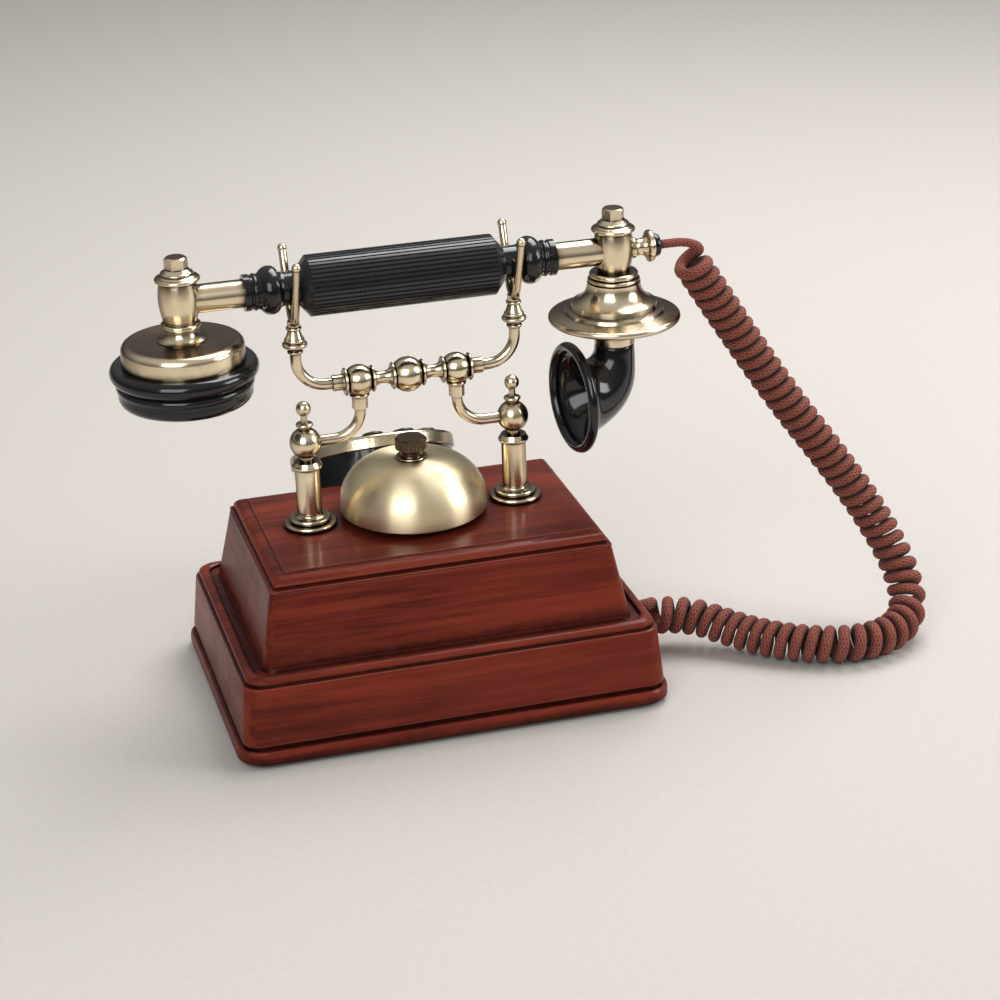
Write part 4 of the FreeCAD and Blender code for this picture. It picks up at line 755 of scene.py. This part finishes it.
class TELEPHONE_OT_mouldings(Operator):
    """Moulded top board and lower case"""

    bl_idname = "telephone.mouldings"
    bl_label = "Mouldings"

    def top_board(self):
        board = stepped_slab("moulded_top", TOP_STEPS, BOARD_CORNER, 3)
        clear_selection()
        bpy.ops.mesh.primitive_cylinder_add(
            vertices=128, radius=DIAL_HOLE, depth=DIAL_HOLE_DEPTH, location=DIAL_MIDDLE)
        cutter = bpy.context.object
        cutter.rotation_euler = DIAL_OUT.to_track_quat("Z", "Y").to_euler()
        combine(board, cutter)
        return board

    def lower_case(self):
        case = stepped_slab("moulded_case", CASE_STEPS, WALL_CORNER, 10)
        combine(case, stepped_slab("plinth", PLINTH_STEPS, PLINTH_CORNER, 10), "UNION")
        combine(case, stepped_slab("case_cavity", CAVITY_STEPS, CAVITY_CORNER, 4))
        clear_selection()
        bpy.ops.mesh.primitive_cylinder_add(vertices=64, radius=BOOT_HOLE, depth=BOOT_HOLE_DEPTH)
        cutter = bpy.context.object
        cutter.rotation_euler.y = math.radians(90)
        cutter.location = BOOT_PLACE + Vector((BOOT_HOLE_MIDDLE, 0, 0))
        combine(case, cutter)
        low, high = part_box("line_jack")
        clear_selection()
        bpy.ops.mesh.primitive_cube_add(size=1)
        cutter = bpy.context.object
        cutter.location = (low + high) / 2
        cutter.location.x = JACK_HOLE_MIDDLE
        cutter.scale = (JACK_HOLE_DEPTH, high.y - low.y + 2 * JACK_SLIP, high.z - low.z + 2 * JACK_SLIP)
        combine(case, cutter)
        return case

    def execute(self, context):
        for piece, node in ((self.top_board(), "top_board"), (self.lower_case(), "lower_case")):
            smooth(piece, 28)
            put_on(piece, "Lacquered wood", node, "base")
        return {"FINISHED"}


# Receiver: outlines of the cup and of the band on the ear cap in millimetres
RECEIVER_PLACE = Matrix.Translation((-0.09515, 0.0040, 0))
CUP_OUTLINE = (
    (9.0, 167.9), (22.0, 167.5), (24.9, 166.6, 25.9, 164.2), (25.9, 157.6), (24.3, 157.6), (24.3, 164.6), (9.0, 166.0))
CAP_BAND = ((27.9, 150.6), (29.0, 148.8, 27.9, 147.0))


class TELEPHONE_OT_receiver(Operator):
    """Rounded brass cup and the raised band on the ear cap"""

    bl_idname = "telephone.receiver"
    bl_label = "Receiver"

    def execute(self, context):
        cup = lathe("turned_cup", CUP_OUTLINE, RECEIVER_PLACE, 112)
        put_on(cup, "Upright turned brass", "receiver_cup", "handset")
        band = lathe("cap_band", CAP_BAND, RECEIVER_PLACE, 112)
        band.data.materials.append(bpy.data.materials["Polished black"])
        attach(band, "handset")
        return {"FINISHED"}


# Cord boot: distance along X and radius of each ring, in millimetres
BOOT_RINGS = (
    (91.0, 5.9), (91.2, 6.4), (92.4, 6.4), (92.8, 5.8), (92.9, 4.5), (93.3, 4.3), (93.5, 3.9), (93.8, 3.9), (94.0, 4.1),
    (94.3, 4.1), (94.5, 3.6), (94.8, 3.6), (95.0, 3.8), (95.3, 3.7), (95.5, 3.2), (95.5, 2.2), (94.8, 2.1))


class TELEPHONE_OT_boot(Operator):
    """Ribbed rubber sleeve where the cord enters the base"""

    bl_idname = "telephone.boot"
    bl_label = "Cord boot"

    def execute(self, context):
        outline = [(radius, along) for along, radius in BOOT_RINGS]
        turn = Matrix.Translation(BOOT_PLACE) @ Matrix.Rotation(math.radians(90), 4, "Y")
        boot = lathe("ribbed_boot", outline, turn, 40, False)
        rubber = plain_finish("Soft rubber", (0.015, 0.015, 0.015), (0.025, 0.025, 0.025), 0.0, 0.55, 0.75, bump=0.1)
        boot.data.materials.append(rubber)
        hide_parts("cord_boot")
        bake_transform(boot)
        return {"FINISHED"}


# Horn mouthpiece: X and Z of each ring's inner and outer side from the horn's top, in millimetres
HORN_TOP = Vector((0.09315, 0.0040, 0.1430))
HORN_TURN = math.radians(6)
HORN_SIDES = 40
HORN_WALL = 0.0015
HORN_RINGS = (
    (-8.8, 0.0, 8.8, 0.0), (-8.8, -3.0, 8.9, -9.0), (-9.5, -5.4, 8.7, -17.0), (-11.0, -7.0, 6.2, -24.4),
    (-13.0, -7.4, 1.4, -30.8), (-15.0, -6.8, -5.0, -35.6), (-16.8, -5.4, -11.6, -38.8), (-17.3, -3.6, -16.0, -41.4),
    (-17.5, -1.0, -17.5, -44.8), (-17.9, 0.7, -17.9, -46.5), (-18.9, 1.8, -18.9, -47.6), (-20.3, 1.9, -20.3, -47.7),
    (-21.6, 1.1, -21.6, -46.9), (-22.3, -0.2, -22.3, -45.6), (-22.0, -1.7, -22.0, -44.1), (-20.8, -2.6, -20.8, -43.2),
    (-19.4, -3.2, -19.4, -42.6))


def horn_ring(row):
    """Middle, half width and tilt of one of the horn's rings, in metres and radians."""
    inner = Vector((row[0], 0, row[1])) / 1000
    outer = Vector((row[2], 0, row[3])) / 1000
    across = outer - inner
    return HORN_TOP + (inner + outer) / 2, across.length / 2, math.atan2(-across.z, across.x)


class TELEPHONE_OT_horn(Operator):
    """Black horn mouthpiece with a rolled lip"""

    bl_idname = "telephone.horn"
    bl_label = "Horn mouthpiece"

    def execute(self, context):
        middle, radius, tilt = horn_ring(HORN_RINGS[0])
        clear_selection()
        bpy.ops.mesh.primitive_circle_add(vertices=HORN_SIDES, radius=radius, location=middle)
        horn = context.object
        horn.name = "horn_mouthpiece"
        settle(horn)
        bpy.ops.object.mode_set(mode="EDIT")
        bpy.ops.mesh.select_all(action="SELECT")
        for row in HORN_RINGS[1:]:
            there, wide, lean = horn_ring(row)
            bpy.ops.mesh.extrude_region_move(TRANSFORM_OT_translate={"value": there - middle})
            bpy.ops.transform.resize(value=(wide / radius,) * 3, center_override=there)
            if abs(lean - tilt) > 1e-6:
                bpy.ops.transform.rotate(value=tilt - lean, orient_axis="Y", center_override=there)
            middle, radius, tilt = there, wide, lean
        bpy.ops.mesh.select_all(action="SELECT")
        bpy.ops.mesh.normals_make_consistent(inside=False)
        bpy.ops.transform.rotate(value=-HORN_TURN, orient_axis="Z", center_override=HORN_TOP)
        bpy.ops.object.mode_set(mode="OBJECT")
        wall = horn.modifiers.new("Wall", "SOLIDIFY")
        wall.thickness = HORN_WALL
        wall.offset = -1
        round_off = horn.modifiers.new("Round", "SUBSURF")
        round_off.levels = round_off.render_levels = 2
        only(horn)
        for name in ("Wall", "Round"):
            bpy.ops.object.modifier_apply(modifier=name)
        smooth(horn, 80)
        put_on(horn, "Polished black", "mouthpiece_horn", "handset")
        return {"FINISHED"}


# Dial figures, in metres and radians
KEY_CIRCLE = 0.0284
KEY_TOP = 0.0023
KEY_FIRST = math.radians(-68.2)
KEY_STEP = math.radians(30)
FIGURE_SIZE = 0.0062
STAR_SIZE = 0.009
FIGURE_DEPTH = 0.00016


class TELEPHONE_OT_figures(Operator):
    """Figures on the tops of the keys"""

    bl_idname = "telephone.figures"
    bl_label = "Key figures"

    def execute(self, context):
        ink = plain_finish("Cream figures", (0.72, 0.66, 0.5), (0.62, 0.56, 0.42), 0.0, 0.35, 0.5)
        across = Vector((-1, 0, 0))
        for number, (mark, sign) in enumerate(KEY_MARKS.items()):
            turn = KEY_FIRST + KEY_STEP * number
            spoke = Vector((math.sin(turn), 0, 0)) + DIAL_UP * math.cos(turn)
            top = DIAL_MIDDLE + spoke * KEY_CIRCLE + DIAL_OUT * KEY_TOP
            clear_selection()
            bpy.ops.object.text_add()
            figure = context.object
            figure.name = "figure_" + mark
            figure.data.body = sign
            figure.data.size = STAR_SIZE if sign == "*" else FIGURE_SIZE
            figure.data.align_x = "CENTER"
            figure.data.align_y = "CENTER"
            figure.data.extrude = FIGURE_DEPTH
            figure.data.resolution_u = 3
            only(figure)
            bpy.ops.object.convert(target="MESH")
            figure = context.object
            turned = Matrix((across, DIAL_UP, DIAL_OUT)).transposed().to_4x4()
            figure.matrix_world = Matrix.Translation(top) @ turned
            settle(figure)
            figure.data.materials.append(ink)
            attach(figure, "key_" + mark)
        return {"FINISHED"}


class TELEPHONE_OT_finishes(Operator):
    """Materials of the pieces that come from the frame"""

    bl_idname = "telephone.finishes"
    bl_label = "Finishes"

    def execute(self, context):
        colours = finish_colours()
        dressed(WOOD_NODES, wood_finish())
        dressed(PLAIN_BRASS, brass_finish())
        dressed(UPRIGHT_BRASS, brass_finish("Upright turned brass", "Z"))
        dressed(LEVEL_BRASS, brass_finish("Level turned brass", "X"))
        dressed(("gong_nut",), brass_finish("Dark bronze", bright=colours.bronze))
        dressed(("gong_washer",), bpy.data.materials["Antique brass"])
        dressed(BLACK_NODES, black_finish())
        dressed(("grip",), grip_finish())
        steel = plain_finish("Plain steel", (0.42, 0.42, 0.43), (0.3, 0.3, 0.31), 1.0, 0.3, 0.5)
        dressed(STEEL_NODES, steel)
        moulded = plain_finish("Moulded dark", (0.02, 0.02, 0.022), (0.03, 0.03, 0.032), 0.0, 0.45, 0.65, bump=0.1)
        dressed(DARK_NODES, moulded)
        board = plain_finish("Printed board", (0.02, 0.13, 0.05), (0.03, 0.18, 0.07), 0.0, 0.4, 0.55)
        dressed(BOARD_NODES, board)
        felt = plain_finish("Dark felt", (0.02, 0.017, 0.015), (0.035, 0.03, 0.027), 0.0, 0.9, 1.0, 400.0, 0.5)
        dressed(("felt_pad",), felt)
        wire = plain_finish("Enamelled wire", (0.45, 0.16, 0.05), (0.34, 0.11, 0.035), 0.6, 0.3, 0.4, 500.0)
        dressed(("ringer_coil",), wire)
        warm = tuple(c * 1.6 for c in colours.key_cap)
        keys = plain_finish("Black keys", colours.key_cap, warm, 0.0, 0.2, 0.35, 90.0)
        dressed(["key_" + mark for mark in KEY_MARKS], keys)
        return {"FINISHED"}


# Camera fitted to the photograph, in metres
CAMERA_PLACE = (-0.2341, -1.01285, 0.52809)
CAMERA_RIGHT = Vector((0.96184, -0.27193, -0.03031))
CAMERA_UP = Vector((0.13420, 0.37228, 0.91837))
CAMERA_SHIFT = -0.001


class TELEPHONE_OT_stage(Operator):
    """Pale floor, soft lamps and the camera"""

    bl_idname = "telephone.stage"
    bl_label = "Stage"

    def lamp(self, name, place, aim, size, power):
        clear_selection()
        bpy.ops.object.light_add(type="AREA", location=place)
        lamp = bpy.context.object
        lamp.name = name
        lamp.data.size = size
        lamp.data.energy = power
        lamp.rotation_euler = (Vector(place) - Vector(aim)).to_track_quat("Z", "Y").to_euler()

    def execute(self, context):
        stage = context.scene.telephone_stage
        clear_selection()
        bpy.ops.mesh.primitive_plane_add(size=12.0, location=(0, 0, 0))
        floor = context.object
        floor.name = "pale_floor"
        material, tree, shader = new_finish("Pale floor", Roughness=0.85, Specular_IOR_Level=0.1)
        cloud = noise(tree, object_place(tree, (1, 1, 1)), 350.0, 3.0)
        pale = tuple(c * 0.96 for c in stage.floor)
        tree.links.new(mixed(tree, ranged(tree, cloud, 0.35, 0.65), pale, stage.floor), shader.inputs["Base Color"])
        floor.data.materials.append(material)
        self.lamp("main_lamp", (0.55, 0.5, 1.25), (0, 0, 0.1), 0.9, stage.lamp)
        self.lamp("front_lamp", (-0.75, -1.2, 0.95), (0, 0, 0.08), 1.0, stage.fill)
        self.lamp("side_lamp", (1.2, -0.5, 0.7), (0, 0, 0.1), 0.6, stage.fill * 0.6)
        world = bpy.data.worlds.new("Soft room")
        context.scene.world = world
        world.use_nodes = True
        tree = world.node_tree
        back = tree.nodes["Background"]
        back.inputs["Strength"].default_value = stage.world
        way = add(tree, "ShaderNodeTexCoord")
        parts = add(tree, "ShaderNodeSeparateXYZ")
        tree.links.new(way.outputs["Generated"], parts.inputs[0])
        height = ranged(tree, parts.outputs["Z"], 0.05, 0.75)
        tree.links.new(mixed(tree, height, (0.16, 0.155, 0.15), (0.95, 0.94, 0.92)), back.inputs["Color"])
        camera = bpy.data.cameras.new("photo_camera")
        camera.sensor_width = 36.0
        camera.lens = stage.lens
        camera.shift_y = CAMERA_SHIFT
        camera.clip_end = 50
        holder = bpy.data.objects.new("photo_camera", camera)
        context.collection.objects.link(holder)
        turned = Matrix((CAMERA_RIGHT, CAMERA_UP, CAMERA_RIGHT.cross(CAMERA_UP))).transposed().to_4x4()
        holder.matrix_world = Matrix.Translation(CAMERA_PLACE) @ turned
        context.scene.camera = holder
        context.scene.view_settings.view_transform = "Standard"
        return {"FINISHED"}


class TELEPHONE_PT_panel(Panel):
    """Lists the telephone's pieces"""

    bl_label = "Telephone"
    bl_idname = "TELEPHONE_PT_panel"
    bl_space_type = "VIEW_3D"
    bl_region_type = "UI"
    bl_category = "Telephone"

    def draw(self, context):
        for group in (context.scene.telephone_finish, context.scene.telephone_cord, context.scene.telephone_stage):
            box = self.layout.box()
            for name in group.__annotations__:
                box.prop(group, name)
        for operator in OPERATORS:
            self.layout.operator(operator.bl_idname)


GROUPS = (TelephoneFinish, TelephoneCord, TelephoneStage)
OPERATORS = (
    TELEPHONE_OT_stage, TELEPHONE_OT_finishes, TELEPHONE_OT_curly_cord, TELEPHONE_OT_boot, TELEPHONE_OT_mouldings,
    TELEPHONE_OT_gong, TELEPHONE_OT_receiver, TELEPHONE_OT_horn, TELEPHONE_OT_figures)


def register():
    for group in GROUPS + OPERATORS + (TELEPHONE_PT_panel,):
        bpy.utils.register_class(group)
    bpy.types.Scene.telephone_finish = PointerProperty(type=TelephoneFinish)
    bpy.types.Scene.telephone_cord = PointerProperty(type=TelephoneCord)
    bpy.types.Scene.telephone_stage = PointerProperty(type=TelephoneStage)


def unregister():
    del bpy.types.Scene.telephone_stage
    del bpy.types.Scene.telephone_cord
    del bpy.types.Scene.telephone_finish
    for group in reversed(GROUPS + OPERATORS + (TELEPHONE_PT_panel,)):
        bpy.utils.unregister_class(group)


def main():
    register()
    bpy.ops.telephone.stage()
    bpy.ops.telephone.finishes()
    bpy.ops.telephone.curly_cord()
    bpy.ops.telephone.boot()
    bpy.ops.telephone.mouldings()
    bpy.ops.telephone.gong()
    bpy.ops.telephone.receiver()
    bpy.ops.telephone.horn()
    bpy.ops.telephone.figures()


if __name__ == "__main__":
    main()
